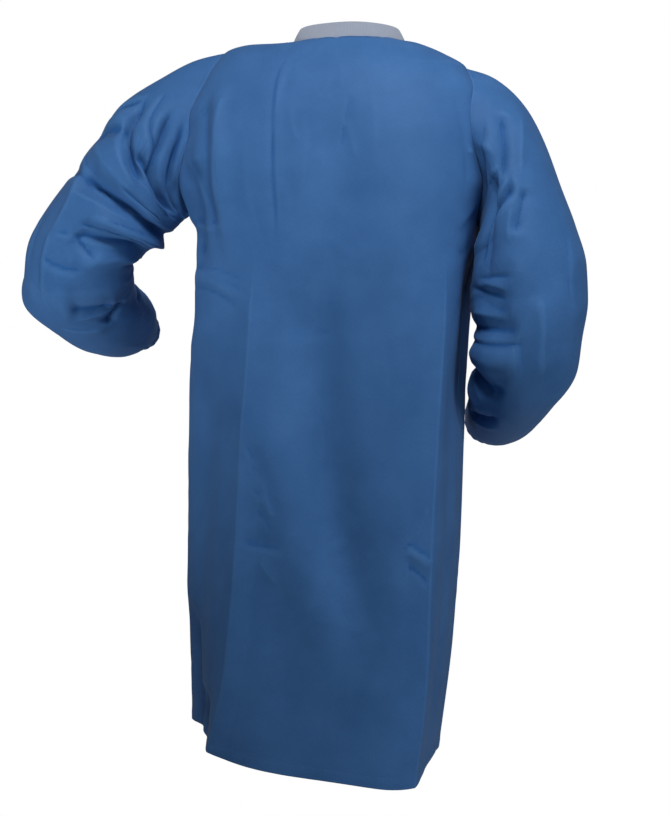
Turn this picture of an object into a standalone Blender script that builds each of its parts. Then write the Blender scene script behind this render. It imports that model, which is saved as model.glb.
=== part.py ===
"""A disposable lab coat, worn and empty, built as its cut pieces.

Back, two fronts that lap at the centre, two set-in sleeves, two elastic cuff casings, a knit
collar band and a row of snaps. Every cloth piece is a closed wall. Metres, +Z up. The origin is
in the middle of the neck at shoulder height, where the wearer carries the coat. The front faces
-Y and the wearer's left is +X.
"""

import math

import bpy
import numpy as np

# Cloth and seams
WALL = 0.0015  # cloth wall
SEAM_GAP = 0.0003  # between two pieces at a seam
KNIT_WALL = 0.0024  # collar knit, doubled
COLLAR_HEIGHT = 0.026
COLLAR_LEAN = math.radians(26)  # inwards, from the upright
COLLAR_END_GAP = 0.0012  # between the collar's two ends at the centre front

# Front closing
LAP = 0.018  # how far each front runs past the centre front
LAP_RAISE = WALL + 0.0006  # the left front lies this far over the right one
LAP_RAMP = 0.024  # width over which the left front rises
SNAP_RADIUS = 0.0062
SNAP_HEIGHT = 0.0018
SNAP_COUNT = 5
SNAP_FIRST, SNAP_LAST = 0.050, 0.660  # below the front neckline, down the centre front

# Armholes, as shares of a quarter of the girth
ARMHOLE_CUT_BACK = 0.20
ARMHOLE_CUT_FRONT = 0.33

# Sleeve ends
GATHERS = 16  # gathers where the elastic draws the sleeve in
GATHER_DEPTH = 0.0030
GATHER_RUN = 0.055  # how far the gathers reach up the sleeve
CUFF_WIDTH = 0.014

# Mesh densities
ARM_ROWS = 16  # rows of a panel between shoulder point and underarm
SHOULDER_ROWS = 4
SKIRT_ROWS = 14
BACK_COLUMNS = (7, 7, 5, 7)  # edge to right crease, to centre, to left crease, to edge
FRONT_COLUMNS = 8
SLEEVE_ROWS = 32
SLEEVE_AROUND = 2 * ARM_ROWS
COLLAR_COLUMNS = 36

# Rings of the body, from neckline to hem. z is given at the centre back, the centre front and the
# two sides. mid_back and mid_front are x at the two centres, left, right, back and front are the
# ring's reach, side_y is y at the side seams. A square of 2 makes that part an ellipse, and more
# makes it boxy.
BODY_COLUMNS = (
    "down z_back z_front z_left z_right mid_back mid_front left right back front side_y "
    "square_left square_right square_front"
).split()
BODY_RINGS = [
    (0.000, 0.000, -0.078, 0.004, 0.000, 0.0, 0.0, 0.079, -0.083, 0.058, -0.062, 0.000, 2.1, 2.1, 2.1),
    (0.010, -0.014, -0.090, 0.006, -0.006, 0.0, 0.0, 0.104, -0.108, 0.070, -0.072, 0.0, 2.1, 2.1, 2.1),
    (0.024, -0.034, -0.106, 0.007, -0.020, 0.0, 0.0, 0.138, -0.140, 0.084, -0.085, 0.0, 2.1, 2.2, 2.1),
    (0.040, -0.056, -0.122, 0.001, -0.040, 0.0, 0.0, 0.172, -0.170, 0.095, -0.095, 0.0, 2.2, 2.3, 2.2),
    (0.075, -0.092, -0.145, -0.050, -0.074, 0.0, 0.0, 0.212, -0.186, 0.106, -0.106, 0.0, 2.4, 2.6, 2.4),
    (0.135, -0.145, -0.185, -0.112, -0.126, 0.0, 0.0, 0.242, -0.193, 0.114, -0.116, 0.0, 2.6, 2.9, 2.6),
    (0.205, -0.205, -0.235, -0.185, -0.200, 0.0, 0.003, 0.254, -0.195, 0.118, -0.122, 0.0, 2.6, 3.2, 2.7),
    (0.262, -0.262, -0.275, -0.235, -0.262, 0.0, 0.008, 0.237, -0.186, 0.119, -0.124, -0.002, 2.6, 3.4, 2.7),
    (0.340, -0.338, -0.342, -0.325, -0.338, 0.003, 0.025, 0.2265, -0.176, 0.120, -0.124, -0.006, 2.5, 3.6, 2.8),
    (0.520, -0.520, -0.520, -0.515, -0.518, 0.010, 0.036, 0.2345, -0.163, 0.121, -0.126, -0.012, 2.4, 4.0, 2.9),
    (0.680, -0.682, -0.678, -0.672, -0.676, 0.017, 0.044, 0.2395, -0.156, 0.122, -0.130, -0.018, 2.4, 4.2, 3.0),
    (0.830, -0.835, -0.825, -0.822, -0.825, 0.023, 0.053, 0.243, -0.144, 0.123, -0.137, -0.026, 2.4, 4.4, 3.1),
    (1.000, -1.014, -0.990, -0.985, -0.992, 0.030, 0.060, 0.240, -0.121, 0.125, -0.146, -0.036, 2.5, 4.8, 3.2),
]
HEM_TILT = 0.08  # rise of the lowest ring towards the wearer's left, per metre

# The back's two pressed creases, as shares of the half girth from the centre back
CREASE_COLUMNS = "down crease_left crease_right".split()
CREASES = [
    (0.000, 0.185, -0.306),
    (0.340, 0.181, -0.306),
    (0.550, 0.187, -0.292),
    (0.720, 0.190, -0.281),
    (0.880, 0.205, -0.281),
    (1.000, 0.238, -0.263),
]
SHOULDER_DOWN = 0.040  # the ring at the shoulder points
UNDERARM_DOWN = 0.262  # the ring at the underarms
HEM_DOWN = 1.000

# Folds of the body. A path runs through up to three places, each a share of the half girth from
# the centre back (0.5 at the left side seam, 1 at the centre front, minus towards the wearer's
# right) and a height. A ridge has a height above zero, a trough below, and a lean shifts one into
# a ridge beside a trough.
FOLD_COLUMNS = "across_a up_a across_b up_b across_c up_c width height lean".split()
BODY_FOLDS = [
    # the slack side of the left crease, and the dip of the side near the hem
    (0.330, -0.400, 0.335, -0.720, 0.360, -1.100, 0.048, -0.0150, 0.0),
    (0.410, -0.780, 0.400, -0.930, 0.390, -1.150, 0.022, -0.0150, 0.0),
    # the slack side of the right crease
    (-0.375, -0.360, -0.370, -0.700, -0.360, -1.100, 0.026, -0.0060, 0.0),
    # drag line from the raised left arm to the top of the left crease
    (0.440, -0.318, 0.300, -0.334, 0.165, -0.375, 0.014, 0.0040, 0.0040),
    # slack cloth standing at the left shoulder blade
    (0.381, -0.062, 0.300, -0.120, 0.269, -0.200, 0.013, -0.0090, 0.0),
    # long press line down the left of the back, and the small crease that meets its foot
    (0.175, -0.030, 0.122, -0.160, 0.125, -0.300, 0.010, 0.0026, -0.0030),
    (0.166, -0.215, 0.152, -0.270, 0.122, -0.312, 0.010, -0.0030, 0.0),
    # crumpled place on the left at the thigh
    (0.168, -0.560, 0.130, -0.615, 0.080, -0.685, 0.011, -0.0040, 0.0020),
    (0.185, -0.700, 0.125, -0.704, 0.060, -0.710, 0.011, -0.0040, 0.0020),
    # short ridges by the right crease
    (-0.220, -0.700, -0.250, -0.715, -0.285, -0.730, 0.010, 0.0035, 0.0),
    # broad hollows and swells of the hanging cloth
    (0.000, -0.100, -0.020, -0.240, -0.010, -0.380, 0.045, -0.0045, 0.0),
    (-0.010, -0.370, -0.100, -0.600, -0.262, -0.860, 0.045, -0.0060, 0.0),
    (0.110, -0.480, 0.090, -0.720, 0.060, -0.960, 0.040, 0.0040, 0.0),
    (-0.180, -0.240, -0.190, -0.400, -0.200, -0.560, 0.040, 0.0040, 0.0),
    # slack beside the right armhole
    (-0.380, -0.170, -0.400, -0.240, -0.410, -0.330, 0.016, -0.0045, 0.0),
    # fronts
    (0.640, -0.330, 0.660, -0.640, 0.690, -1.100, 0.024, 0.0060, 0.0),
    (0.740, -0.420, 0.760, -0.700, 0.800, -1.100, 0.030, -0.0060, 0.0),
    (-0.640, -0.340, -0.650, -0.650, -0.680, -1.100, 0.022, 0.0060, 0.0),
    (-0.760, -0.380, -0.770, -0.680, -0.790, -1.100, 0.030, -0.0055, 0.0),
    (0.560, -0.300, 0.660, -0.350, 0.780, -0.430, 0.016, 0.0045, 0.0),
    (-0.560, -0.310, -0.680, -0.350, -0.800, -0.420, 0.016, 0.0040, 0.0),
    (0.700, -0.090, 0.720, -0.150, 0.700, -0.230, 0.020, -0.0040, 0.0),
    (-0.700, -0.090, -0.720, -0.150, -0.700, -0.230, 0.020, -0.0040, 0.0),
]
CREASE_RISE = 0.0070  # how far the pressed creases of the back stand out
CREASE_SLOPE = 0.030  # width over which they rise
CREASE_START, CREASE_FULL = 0.290, 0.430  # distances down between which they begin

# Sections of the sleeves, from armhole to cuff: the point on the body side, the point on the outer
# side, and half the sleeve's depth across them.
SLEEVE_COLUMNS = "inner_x inner_y inner_z outer_x outer_y outer_z deep".split()
LEFT_SLEEVE = [
    (0.237, -0.002, -0.235, 0.172, 0.000, 0.001, 0.080),
    (0.242, -0.001, -0.239, 0.222, 0.000, -0.008, 0.082),
    (0.250, 0.002, -0.243, 0.275, 0.000, -0.031, 0.083),
    (0.256, 0.005, -0.248, 0.330, 0.001, -0.064, 0.083),
    (0.264, 0.008, -0.256, 0.370, 0.002, -0.115, 0.082),
    (0.280, 0.010, -0.269, 0.409, 0.004, -0.171, 0.081),
    (0.300, 0.008, -0.284, 0.449, 0.007, -0.221, 0.080),
    (0.318, 0.000, -0.298, 0.486, 0.010, -0.266, 0.079),
    (0.330, -0.015, -0.306, 0.499, 0.008, -0.315, 0.077),
    (0.337, -0.040, -0.313, 0.495, -0.012, -0.355, 0.073),
    (0.342, -0.068, -0.320, 0.475, -0.045, -0.391, 0.070),
    (0.346, -0.098, -0.328, 0.452, -0.085, -0.409, 0.064),
    (0.350, -0.135, -0.338, 0.434, -0.128, -0.418, 0.056),
    (0.356, -0.170, -0.350, 0.425, -0.167, -0.414, 0.045),
    (0.361, -0.198, -0.363, 0.417, -0.197, -0.409, 0.036),
]
RIGHT_SLEEVE = [
    (-0.186, -0.002, -0.262, -0.170, 0.000, -0.040, 0.080),
    (-0.189, -0.001, -0.268, -0.203, 0.000, -0.053, 0.082),
    (-0.188, 0.001, -0.276, -0.232, 0.001, -0.075, 0.084),
    (-0.1865, 0.003, -0.285, -0.257, 0.002, -0.106, 0.085),
    (-0.1845, 0.004, -0.298, -0.279, 0.004, -0.150, 0.085),
    (-0.1825, 0.006, -0.316, -0.301, 0.006, -0.211, 0.084),
    (-0.1795, 0.008, -0.340, -0.321, 0.009, -0.265, 0.083),
    (-0.1765, 0.009, -0.368, -0.336, 0.012, -0.320, 0.083),
    (-0.1755, 0.008, -0.396, -0.340, 0.014, -0.370, 0.082),
    (-0.1755, 0.000, -0.424, -0.333, 0.010, -0.420, 0.080),
    (-0.1765, -0.018, -0.447, -0.322, -0.004, -0.462, 0.077),
    (-0.178, -0.048, -0.462, -0.303, -0.030, -0.502, 0.071),
    (-0.179, -0.085, -0.472, -0.277, -0.068, -0.532, 0.063),
    (-0.177, -0.125, -0.482, -0.248, -0.112, -0.553, 0.055),
    (-0.174, -0.165, -0.492, -0.222, -0.155, -0.562, 0.046),
    (-0.168, -0.195, -0.503, -0.204, -0.189, -0.560, 0.036),
]

# Folds of the sleeves. Each place is an angle round the sleeve (0 on the outer side, 90 at the
# back, 180 on the body side, 270 in front) and a distance down it from the armhole.
SLEEVE_FOLD_COLUMNS = "turn_a down_a turn_b down_b turn_c down_c width height lean".split()
LEFT_SLEEVE_FOLDS = [
    # folds that start at the shoulder and meet at the underarm
    (40, 0.014, 85, 0.020, 138, 0.016, 0.012, -0.0050, 0.0),
    (28, 0.067, 72, 0.104, 129, 0.106, 0.014, -0.0105, 0.0030),
    (84, 0.096, 112, 0.076, 165, 0.068, 0.012, -0.0080, 0.0),
    (50, 0.173, 108, 0.170, 156, 0.160, 0.014, -0.0100, 0.0),
    (40, 0.135, 80, 0.140, 128, 0.134, 0.016, 0.0060, 0.0),
    # the roll at the inner elbow, with the hollows under it
    (92, 0.212, 140, 0.202, 192, 0.194, 0.014, 0.0105, 0.0),
    (86, 0.240, 130, 0.230, 176, 0.227, 0.013, -0.0110, 0.0),
    (90, 0.237, 104, 0.248, 122, 0.262, 0.012, -0.0050, 0.0),
    (100, 0.270, 140, 0.258, 185, 0.254, 0.013, 0.0070, 0.0),
    # the ridge down the outer side to the elbow
    (45, 0.165, 68, 0.227, 64, 0.300, 0.013, 0.0050, -0.0020),
    # forearm
    (80, 0.305, 108, 0.312, 135, 0.322, 0.013, -0.0065, 0.0),
    (105, 0.360, 125, 0.350, 145, 0.338, 0.013, -0.0055, 0.0),
    # front of the elbow and of the shoulder
    (265, 0.215, 220, 0.200, 185, 0.196, 0.015, 0.0095, 0.0),
    (268, 0.245, 225, 0.232, 180, 0.228, 0.013, -0.0105, 0.0),
    (255, 0.275, 220, 0.262, 188, 0.256, 0.013, 0.0060, 0.0),
    (330, 0.075, 285, 0.105, 232, 0.108, 0.014, -0.0090, 0.0),
    (310, 0.165, 262, 0.168, 205, 0.160, 0.014, -0.0085, 0.0),
    (320, 0.130, 280, 0.138, 235, 0.134, 0.016, 0.0050, 0.0),
]
RIGHT_SLEEVE_FOLDS = [
    # folds that start at the shoulder
    (45, 0.040, 68, 0.060, 90, 0.082, 0.012, -0.0070, 0.0),
    (72, 0.112, 95, 0.109, 120, 0.101, 0.012, -0.0070, 0.0020),
    (60, 0.120, 74, 0.142, 88, 0.164, 0.012, -0.0050, 0.0),
    # the deep hollow beside the body
    (110, 0.030, 130, 0.102, 138, 0.190, 0.015, -0.0100, 0.0),
    # inner elbow
    (134, 0.182, 116, 0.200, 96, 0.217, 0.012, -0.0065, 0.0),
    (146, 0.192, 128, 0.216, 105, 0.246, 0.012, -0.0070, 0.0),
    (172, 0.282, 130, 0.284, 86, 0.284, 0.013, 0.0065, 0.0),
    (180, 0.307, 125, 0.308, 78, 0.304, 0.013, -0.0095, 0.0),
    (180, 0.332, 140, 0.338, 110, 0.343, 0.012, -0.0075, 0.0),
    (185, 0.358, 145, 0.366, 110, 0.372, 0.013, 0.0055, 0.0),
    (130, 0.420, 106, 0.394, 84, 0.370, 0.013, -0.0065, 0.0),
    # the ridge down the outer side to the elbow
    (70, 0.240, 66, 0.280, 60, 0.330, 0.013, 0.0045, -0.0015),
    # front of the elbow and of the shoulder
    (282, 0.282, 235, 0.284, 190, 0.282, 0.014, 0.0075, 0.0),
    (286, 0.306, 238, 0.308, 186, 0.307, 0.013, -0.0095, 0.0),
    (280, 0.335, 235, 0.338, 190, 0.332, 0.013, 0.0050, 0.0),
    (315, 0.050, 285, 0.085, 262, 0.140, 0.014, -0.0070, 0.0),
    (300, 0.175, 262, 0.185, 225, 0.180, 0.014, -0.0060, 0.0),
]

BLUE = (0.060, 0.155, 0.330)
KNIT_GREY = (0.62, 0.66, 0.72)
SNAP_WHITE = (0.80, 0.82, 0.84)


def unit(vectors):
    """Vectors of length one."""
    return vectors / np.maximum(np.linalg.norm(vectors, axis=-1, keepdims=True), 1e-12)


def ramp(value):
    """0 to 1 along a smooth S."""
    t = np.clip(value, 0.0, 1.0)
    return t * t * (3 - 2 * t)


def curve_through(keys, values, at):
    """Values read between the keys, on a smooth curve that never overshoots them."""
    keys, values = np.asarray(keys, float), np.asarray(values, float)
    steps = np.diff(keys)
    slopes = np.diff(values) / steps
    tangents = np.zeros(len(keys))
    both = slopes[:-1] * slopes[1:]
    inner = np.where(both > 0, 2 * both / np.where(both > 0, slopes[:-1] + slopes[1:], 1), 0.0)
    tangents[1:-1] = inner
    tangents[0], tangents[-1] = slopes[0], slopes[-1]
    at = np.clip(np.asarray(at, float), keys[0], keys[-1])
    i = np.clip(np.searchsorted(keys, at, side="right") - 1, 0, len(keys) - 2)
    h = steps[i]
    t = (at - keys[i]) / h
    return (
        (2 * t**3 - 3 * t**2 + 1) * values[i]
        + (t**3 - 2 * t**2 + t) * h * tangents[i]
        + (-2 * t**3 + 3 * t**2) * values[i + 1]
        + (t**3 - t**2) * h * tangents[i + 1]
    )


def column(table, names, name):
    return [row[names.index(name)] for row in table]


def path_points(places, count=13):
    """Places along a bent line through three places, as a parabola through the middle one."""
    a, b, c = (np.array(place, float) for place in places)
    control = 2 * b - 0.5 * (a + c)
    t = np.linspace(0.0, 1.0, count)[:, None]
    return (1 - t) ** 2 * a + 2 * t * (1 - t) * control + t**2 * c


def fold_profile(across, down, path, width, height, lean):
    """Height of one fold at cloth places (across, down), both in metres."""
    best = np.full(across.shape, 1e9)
    side = np.zeros(across.shape)
    along = np.zeros(across.shape)
    segments = len(path) - 1
    for k in range(segments):
        a, b = path[k], path[k + 1]
        step = b - a
        length2 = float(step @ step)
        rel_x, rel_y = across - a[0], down - a[1]
        t = np.clip((rel_x * step[0] + rel_y * step[1]) / length2, 0.0, 1.0)
        off_x, off_y = rel_x - t * step[0], rel_y - t * step[1]
        distance = np.hypot(off_x, off_y)
        nearer = distance < best
        best = np.where(nearer, distance, best)
        turn = (step[0] * rel_y - step[1] * rel_x) / math.sqrt(length2)
        side = np.where(nearer, np.sign(turn) * distance, side)
        along = np.where(nearer, (k + t) / segments, along)
    ends = ramp(along / 0.25) * ramp((1 - along) / 0.25)
    bell = np.exp(-((best / width) ** 2))
    return ends * bell * (height + lean * 1.6 * side / width)


def ring_values(down):
    """Every column of the body's rings at this distance down."""
    keys = column(BODY_RINGS, BODY_COLUMNS, "down")
    ring = {
        name: curve_through(keys, column(BODY_RINGS, BODY_COLUMNS, name), down)
        for name in BODY_COLUMNS[1:]
    }
    ring["tilt"] = ramp((down - UNDERARM_DOWN) / (HEM_DOWN - UNDERARM_DOWN))
    return ring


def crease_shares(down):
    """Where the back's creases run at this distance down."""
    keys = column(CREASES, CREASE_COLUMNS, "down")
    left, right = (
        curve_through(keys, column(CREASES, CREASE_COLUMNS, name), down)
        for name in CREASE_COLUMNS[1:]
    )
    return left, right


def bare_ring(ring, turn):
    """Points of a ring of the body at angles round it, before any fold."""
    s, c = np.sin(turn), np.cos(turn)
    back_square = np.where(s >= 0, ring["square_left"], ring["square_right"])
    power = 2 / np.where(c >= 0, back_square, ring["square_front"])
    middle = np.where(c >= 0, ring["mid_back"], ring["mid_front"])
    reach = np.where(s >= 0, ring["left"], ring["right"]) - middle
    across, deep = np.abs(s) ** power, np.abs(c) ** power
    x = middle + reach * across
    y = ring["side_y"] + deep * (np.where(c >= 0, ring["back"], ring["front"]) - ring["side_y"])
    z_side = np.where(s >= 0, ring["z_left"], ring["z_right"])
    z_middle = np.where(c >= 0, ring["z_back"], ring["z_front"])
    z = z_side + (z_middle - z_side) * deep**2
    z = z + HEM_TILT * (x - ring["mid_back"]) * ring["tilt"]
    return np.stack([x, y, z], axis=-1)


QUARTER_STEPS = 160


_quarters = {}


def quarter(down, sign, front):
    """A dense quarter ring, from centre back or centre front to the side, and its arc lengths."""
    key = (round(down, 7), sign, front)
    if key not in _quarters:
        ring = ring_values(down)
        turn = np.linspace(0.0, math.pi / 2, QUARTER_STEPS + 1)
        turn = sign * (math.pi - turn) if front else sign * turn
        points = bare_ring(ring, turn)
        lengths = np.concatenate([[0], np.cumsum(np.linalg.norm(np.diff(points, axis=0), axis=1))])
        _quarters[key] = (points, lengths / lengths[-1])
    return _quarters[key]


def one_body_point(down, share):
    sign = 1.0 if share >= 0 else -1.0
    size = abs(share)
    front = size > 0.5
    way = (1.0 - size) * 2 if front else size * 2
    if way < 0:  # past the centre front, on the other side
        sign, way = -sign, -way
    points, lengths = quarter(down, sign, front)
    return np.array([np.interp(way, lengths, points[:, k]) for k in range(3)])


def body_point(down, share):
    """Bare body points. share is the share of the half girth, 0 centre back, 1 centre front."""
    down, share = np.broadcast_arrays(np.asarray(down, float), np.asarray(share, float))
    points = np.zeros(down.shape + (3,))
    for place in np.ndindex(down.shape):
        points[place] = one_body_point(float(down[place]), float(share[place]))
    return points


HALF_GIRTH = 0.57  # mean half girth, which turns shares into metres


def body_surface(down, share):
    """Body points with their folds, and the outward directions that the folds rise along."""
    down, share = np.broadcast_arrays(np.asarray(down, float), np.asarray(share, float))
    bare = body_point(down, share)
    step_down, step_share = 0.002, 0.003
    up = body_point(down - step_down, share) - body_point(down + step_down, share)
    along = body_point(down, share + step_share) - body_point(down, share - step_share)
    normal = unit(np.cross(up, along))
    across = share * HALF_GIRTH
    height = np.zeros(bare.shape[:-1])
    for fold in BODY_FOLDS:
        row = dict(zip(FOLD_COLUMNS, fold))
        path = path_points([(row[f"across_{k}"] * HALF_GIRTH, row[f"up_{k}"]) for k in "abc"])
        height += fold_profile(across, bare[..., 2], path, row["width"], row["height"], row["lean"])
    begun = ramp((down - CREASE_START) / (CREASE_FULL - CREASE_START))
    for crease in crease_shares(down):
        off = np.abs(share - crease) * HALF_GIRTH / CREASE_SLOPE
        height += CREASE_RISE * begun * np.maximum(1 - off, 0) ** 1.5
    return bare + normal * height[..., None], normal


def surface_normals(grid):
    """Outward normals of a grid of points, its rows upwards, its columns along rising shares."""
    rows = np.gradient(grid, axis=0)
    columns = np.gradient(grid, axis=1)
    return unit(np.cross(rows, columns))


def armhole_share(down, cut):
    """Share of the quarter girth where the armhole's edge runs, at this distance down."""
    t = (down - SHOULDER_DOWN) / (UNDERARM_DOWN - SHOULDER_DOWN)
    inside = (t > 0) & (t < 1)
    return 1.0 - np.where(inside, cut * np.sin(math.pi * np.clip(t, 0, 1)) ** 0.75, 0.0)


def arm_steps():
    """0 to 1 in the steps of the armhole's points, closer at its two ends."""
    t = np.linspace(0, 1, ARM_ROWS + 1)
    return 0.5 * t + 0.5 * (0.5 - 0.5 * np.cos(math.pi * t))


def panel_levels():
    """Distances down of the panels' rows, from hem to neckline."""
    skirt = np.linspace(HEM_DOWN, UNDERARM_DOWN, SKIRT_ROWS + 1)
    sleeve = UNDERARM_DOWN + (SHOULDER_DOWN - UNDERARM_DOWN) * arm_steps()
    shoulder = np.linspace(SHOULDER_DOWN, 0.0, SHOULDER_ROWS + 1)
    return np.concatenate([skirt, sleeve[1:], shoulder[1:]])


def rim_normals(points, normals):
    """Normals at an armhole's edge, halfway between the body's and the sleeve's."""
    middle = points.mean(axis=0)
    return unit(0.5 * normals + 0.5 * unit(points - middle))


def armhole_loop(sign):
    """Points and rim normals of an armhole, from shoulder point down the back and up the front."""
    down = SHOULDER_DOWN + (UNDERARM_DOWN - SHOULDER_DOWN) * arm_steps()
    back = 0.5 * armhole_share(down, ARMHOLE_CUT_BACK)
    front = 1 - 0.5 * armhole_share(down, ARMHOLE_CUT_FRONT)
    downs = np.concatenate([down, down[-2:0:-1]])
    shares = sign * np.concatenate([back, front[-2:0:-1]])
    points, normals = body_surface(downs, shares)
    return points, rim_normals(points, normals)


def pull_in(outer, inner, gap):
    """Moves the first and last columns of a wall's grids in by half the seam gap."""
    for grid in (outer, inner):
        for edge, beside in ((0, 1), (-1, -2)):
            grid[:, edge] += unit(grid[:, beside] - grid[:, edge]) * gap / 2


def wall_faces(rows, columns, around):
    """Faces of a closed wall: an outer grid, then an inner one, then the rims."""
    size = rows * columns
    last = columns if around else columns - 1
    top = rows - 1

    def at(layer, i, j):
        return layer * size + i * columns + j % columns

    faces = []
    for i in range(rows - 1):
        for j in range(last):
            faces.append((at(0, i, j), at(0, i + 1, j), at(0, i + 1, j + 1), at(0, i, j + 1)))
            faces.append((at(1, i, j), at(1, i, j + 1), at(1, i + 1, j + 1), at(1, i + 1, j)))
    for j in range(last):
        faces.append((at(0, 0, j), at(0, 0, j + 1), at(1, 0, j + 1), at(1, 0, j)))
        faces.append((at(0, top, j), at(1, top, j), at(1, top, j + 1), at(0, top, j + 1)))
    if not around:
        end = columns - 1
        for i in range(rows - 1):
            faces.append((at(0, i, 0), at(1, i, 0), at(1, i + 1, 0), at(0, i + 1, 0)))
            faces.append((at(0, i, end), at(0, i + 1, end), at(1, i + 1, end), at(1, i, end)))
    return faces


def material(name, colour, roughness):
    made = bpy.data.materials.get(name) or bpy.data.materials.new(name)
    made.use_nodes = True
    shader = made.node_tree.nodes["Principled BSDF"]
    shader.inputs["Base Color"].default_value = (*colour, 1.0)
    shader.inputs["Roughness"].default_value = roughness
    shader.inputs["Metallic"].default_value = 0.0
    return made


def wall_object(name, outer, inner, around, finish):
    """One closed wall from its outer and inner grids."""
    rows, columns = outer.shape[:2]
    mesh = bpy.data.meshes.new(name)
    points = np.concatenate([outer.reshape(-1, 3), inner.reshape(-1, 3)])
    mesh.from_pydata(points.tolist(), [], wall_faces(rows, columns, around))
    mesh.validate()
    mesh.update()
    made = bpy.data.objects.new(name, mesh)
    bpy.context.scene.collection.objects.link(made)
    mesh.materials.append(finish)
    mesh.shade_smooth()
    return made


def panel(name, levels, shares, raise_by, armholes, finish):
    """A cut panel. shares holds places round the girth, rows from the hem, columns rising.

    armholes holds the side, 1 or -1, of the armhole at its first and last column, or 0.
    """
    outer, normals = body_surface(levels[:, None], shares)
    outer = outer + normals * raise_by[..., None]
    wall_normals = surface_normals(outer)
    beside_arm = np.nonzero((levels > SHOULDER_DOWN - 1e-9) & (levels < UNDERARM_DOWN + 1e-9))[0]
    for side, edge in zip(armholes, (0, -1)):
        if not side:
            continue
        wall_normals[:, edge] = normals[:, edge]
        loop, rims = armhole_loop(side)
        for i in beside_arm:
            nearest = np.argmin(np.linalg.norm(loop - outer[i, edge], axis=1))
            wall_normals[i, edge] = rims[nearest]
    inner = outer - wall_normals * WALL
    pull_in(outer, inner, SEAM_GAP)
    return wall_object(name, outer, inner, False, finish)


def back_panel(finish):
    levels = panel_levels()
    edge = 0.5 * armhole_share(levels, ARMHOLE_CUT_BACK)
    left, right = crease_shares(levels)
    stations = np.stack([-edge, right, 0 * edge, left, edge], axis=1)
    knots = np.concatenate([[0], np.cumsum(BACK_COLUMNS)])
    across = np.arange(knots[-1] + 1)
    shares = np.array([np.interp(across, knots, row) for row in stations])
    return panel("back", levels, shares, np.zeros(shares.shape), (-1, 1), finish)


def front_panel(name, side, finish):
    """A front, from its side seam to past the centre front. side is 1 on the wearer's left."""
    levels = panel_levels()
    lap, rise = LAP / HALF_GIRTH, (LAP + LAP_RAMP) / HALF_GIRTH
    edge = 1 - 0.5 * armhole_share(levels, ARMHOLE_CUT_FRONT)[:, None]
    t = np.linspace(0, 1, FRONT_COLUMNS + 1)[None, :]
    main = edge * (1 - t) + (1 - rise) * t
    centre = np.repeat(1 + lap * np.linspace(-1, 1, 5)[None, :], len(levels), axis=0)
    shares = np.concatenate([main, centre], axis=1)
    over = LAP_RAISE * ramp((shares - (1 - rise)) / (rise - lap))
    if side > 0:
        return panel(name, levels, shares, over, (1, 0), finish)
    return panel(name, levels, -shares[:, ::-1], 0 * over, (0, -1), finish)


def sleeve_rings(table, down_rows, turns):
    """Bare rings of a sleeve and its running length. Rows down the sleeve, columns round it."""
    rows = [dict(zip(SLEEVE_COLUMNS, row)) for row in table]
    inner = np.array([[r["inner_x"], r["inner_y"], r["inner_z"]] for r in rows])
    outer = np.array([[r["outer_x"], r["outer_y"], r["outer_z"]] for r in rows])
    middle = (inner + outer) / 2
    keys = np.concatenate([[0], np.cumsum(np.linalg.norm(np.diff(middle, axis=0), axis=1))])
    at = down_rows * keys[-1]
    inner, outer = (
        np.stack([curve_through(keys, side[:, k], at) for k in range(3)], axis=-1)
        for side in (inner, outer)
    )
    deep = curve_through(keys, [r["deep"] for r in rows], at)
    middle, half = (inner + outer) / 2, (outer - inner) / 2
    along = unit(np.gradient(middle, axis=0))
    back = unit(np.cross(half, along))
    back *= np.sign(back[:1, 1:2])
    cosine, sine = np.cos(turns)[None, :, None], np.sin(turns)[None, :, None]
    rings = middle[:, None] + half[:, None] * cosine + (back * deep[:, None])[:, None] * sine
    frames = np.stack([unit(half), back, unit(np.cross(half, back))], axis=1)
    return rings, frames, at


def sleeve_grids(table, folds, sign):
    """Outer and inner grids of a sleeve, with its first row on the armhole."""
    turns = np.linspace(0, 2 * math.pi, SLEEVE_AROUND, endpoint=False)
    shares = np.linspace(0, 1, SLEEVE_ROWS + 1) ** 1.12
    rings, frames, at = sleeve_rings(table, shares, turns)
    loop, rims = armhole_loop(sign)
    left_over = np.einsum("jk,lk->jl", loop - rings[0], frames[0])
    fade = 1 - ramp(at / 0.13)
    rings = rings + fade[:, None, None] * np.einsum("jl,ilk->ijk", left_over, frames)
    closed = np.concatenate([rings[:, -1:], rings, rings[:, :1]], axis=1)
    normals = surface_normals(closed)[:, 1:-1]
    outwards = rings - rings.mean(axis=1, keepdims=True)
    normals *= np.sign((normals * outwards).sum(axis=-1).mean())
    height = np.zeros(rings.shape[:2])
    girth = 0.075
    for fold in folds:
        row = dict(zip(SLEEVE_FOLD_COLUMNS, fold))
        places = [(math.radians(row[f"turn_{k}"]) * girth, row[f"down_{k}"]) for k in "abc"]
        path = path_points(places)
        centre = math.radians(row["turn_b"])
        wrapped = (turns - centre + math.pi) % (2 * math.pi) - math.pi + centre
        across = np.broadcast_to(wrapped[None, :] * girth, height.shape)
        down = np.broadcast_to(at[:, None], height.shape)
        height += fold_profile(across, down, path, row["width"], row["height"], row["lean"])
    height *= ramp(at / 0.03)[:, None]
    near_cuff = ramp(1 - (at[-1] - at) / GATHER_RUN)[:, None]
    height = height * (1 - near_cuff)
    height = height + near_cuff * GATHER_DEPTH * np.cos(turns * GATHERS)[None, :]
    outer = rings + normals * height[..., None]
    closed = np.concatenate([outer[:, -1:], outer, outer[:, :1]], axis=1)
    wall_normals = surface_normals(closed)[:, 1:-1]
    wall_normals *= np.sign((wall_normals * normals).sum(axis=-1).mean())
    wall_normals[0] = rims
    return outer, outer - wall_normals * WALL, wall_normals


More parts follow.
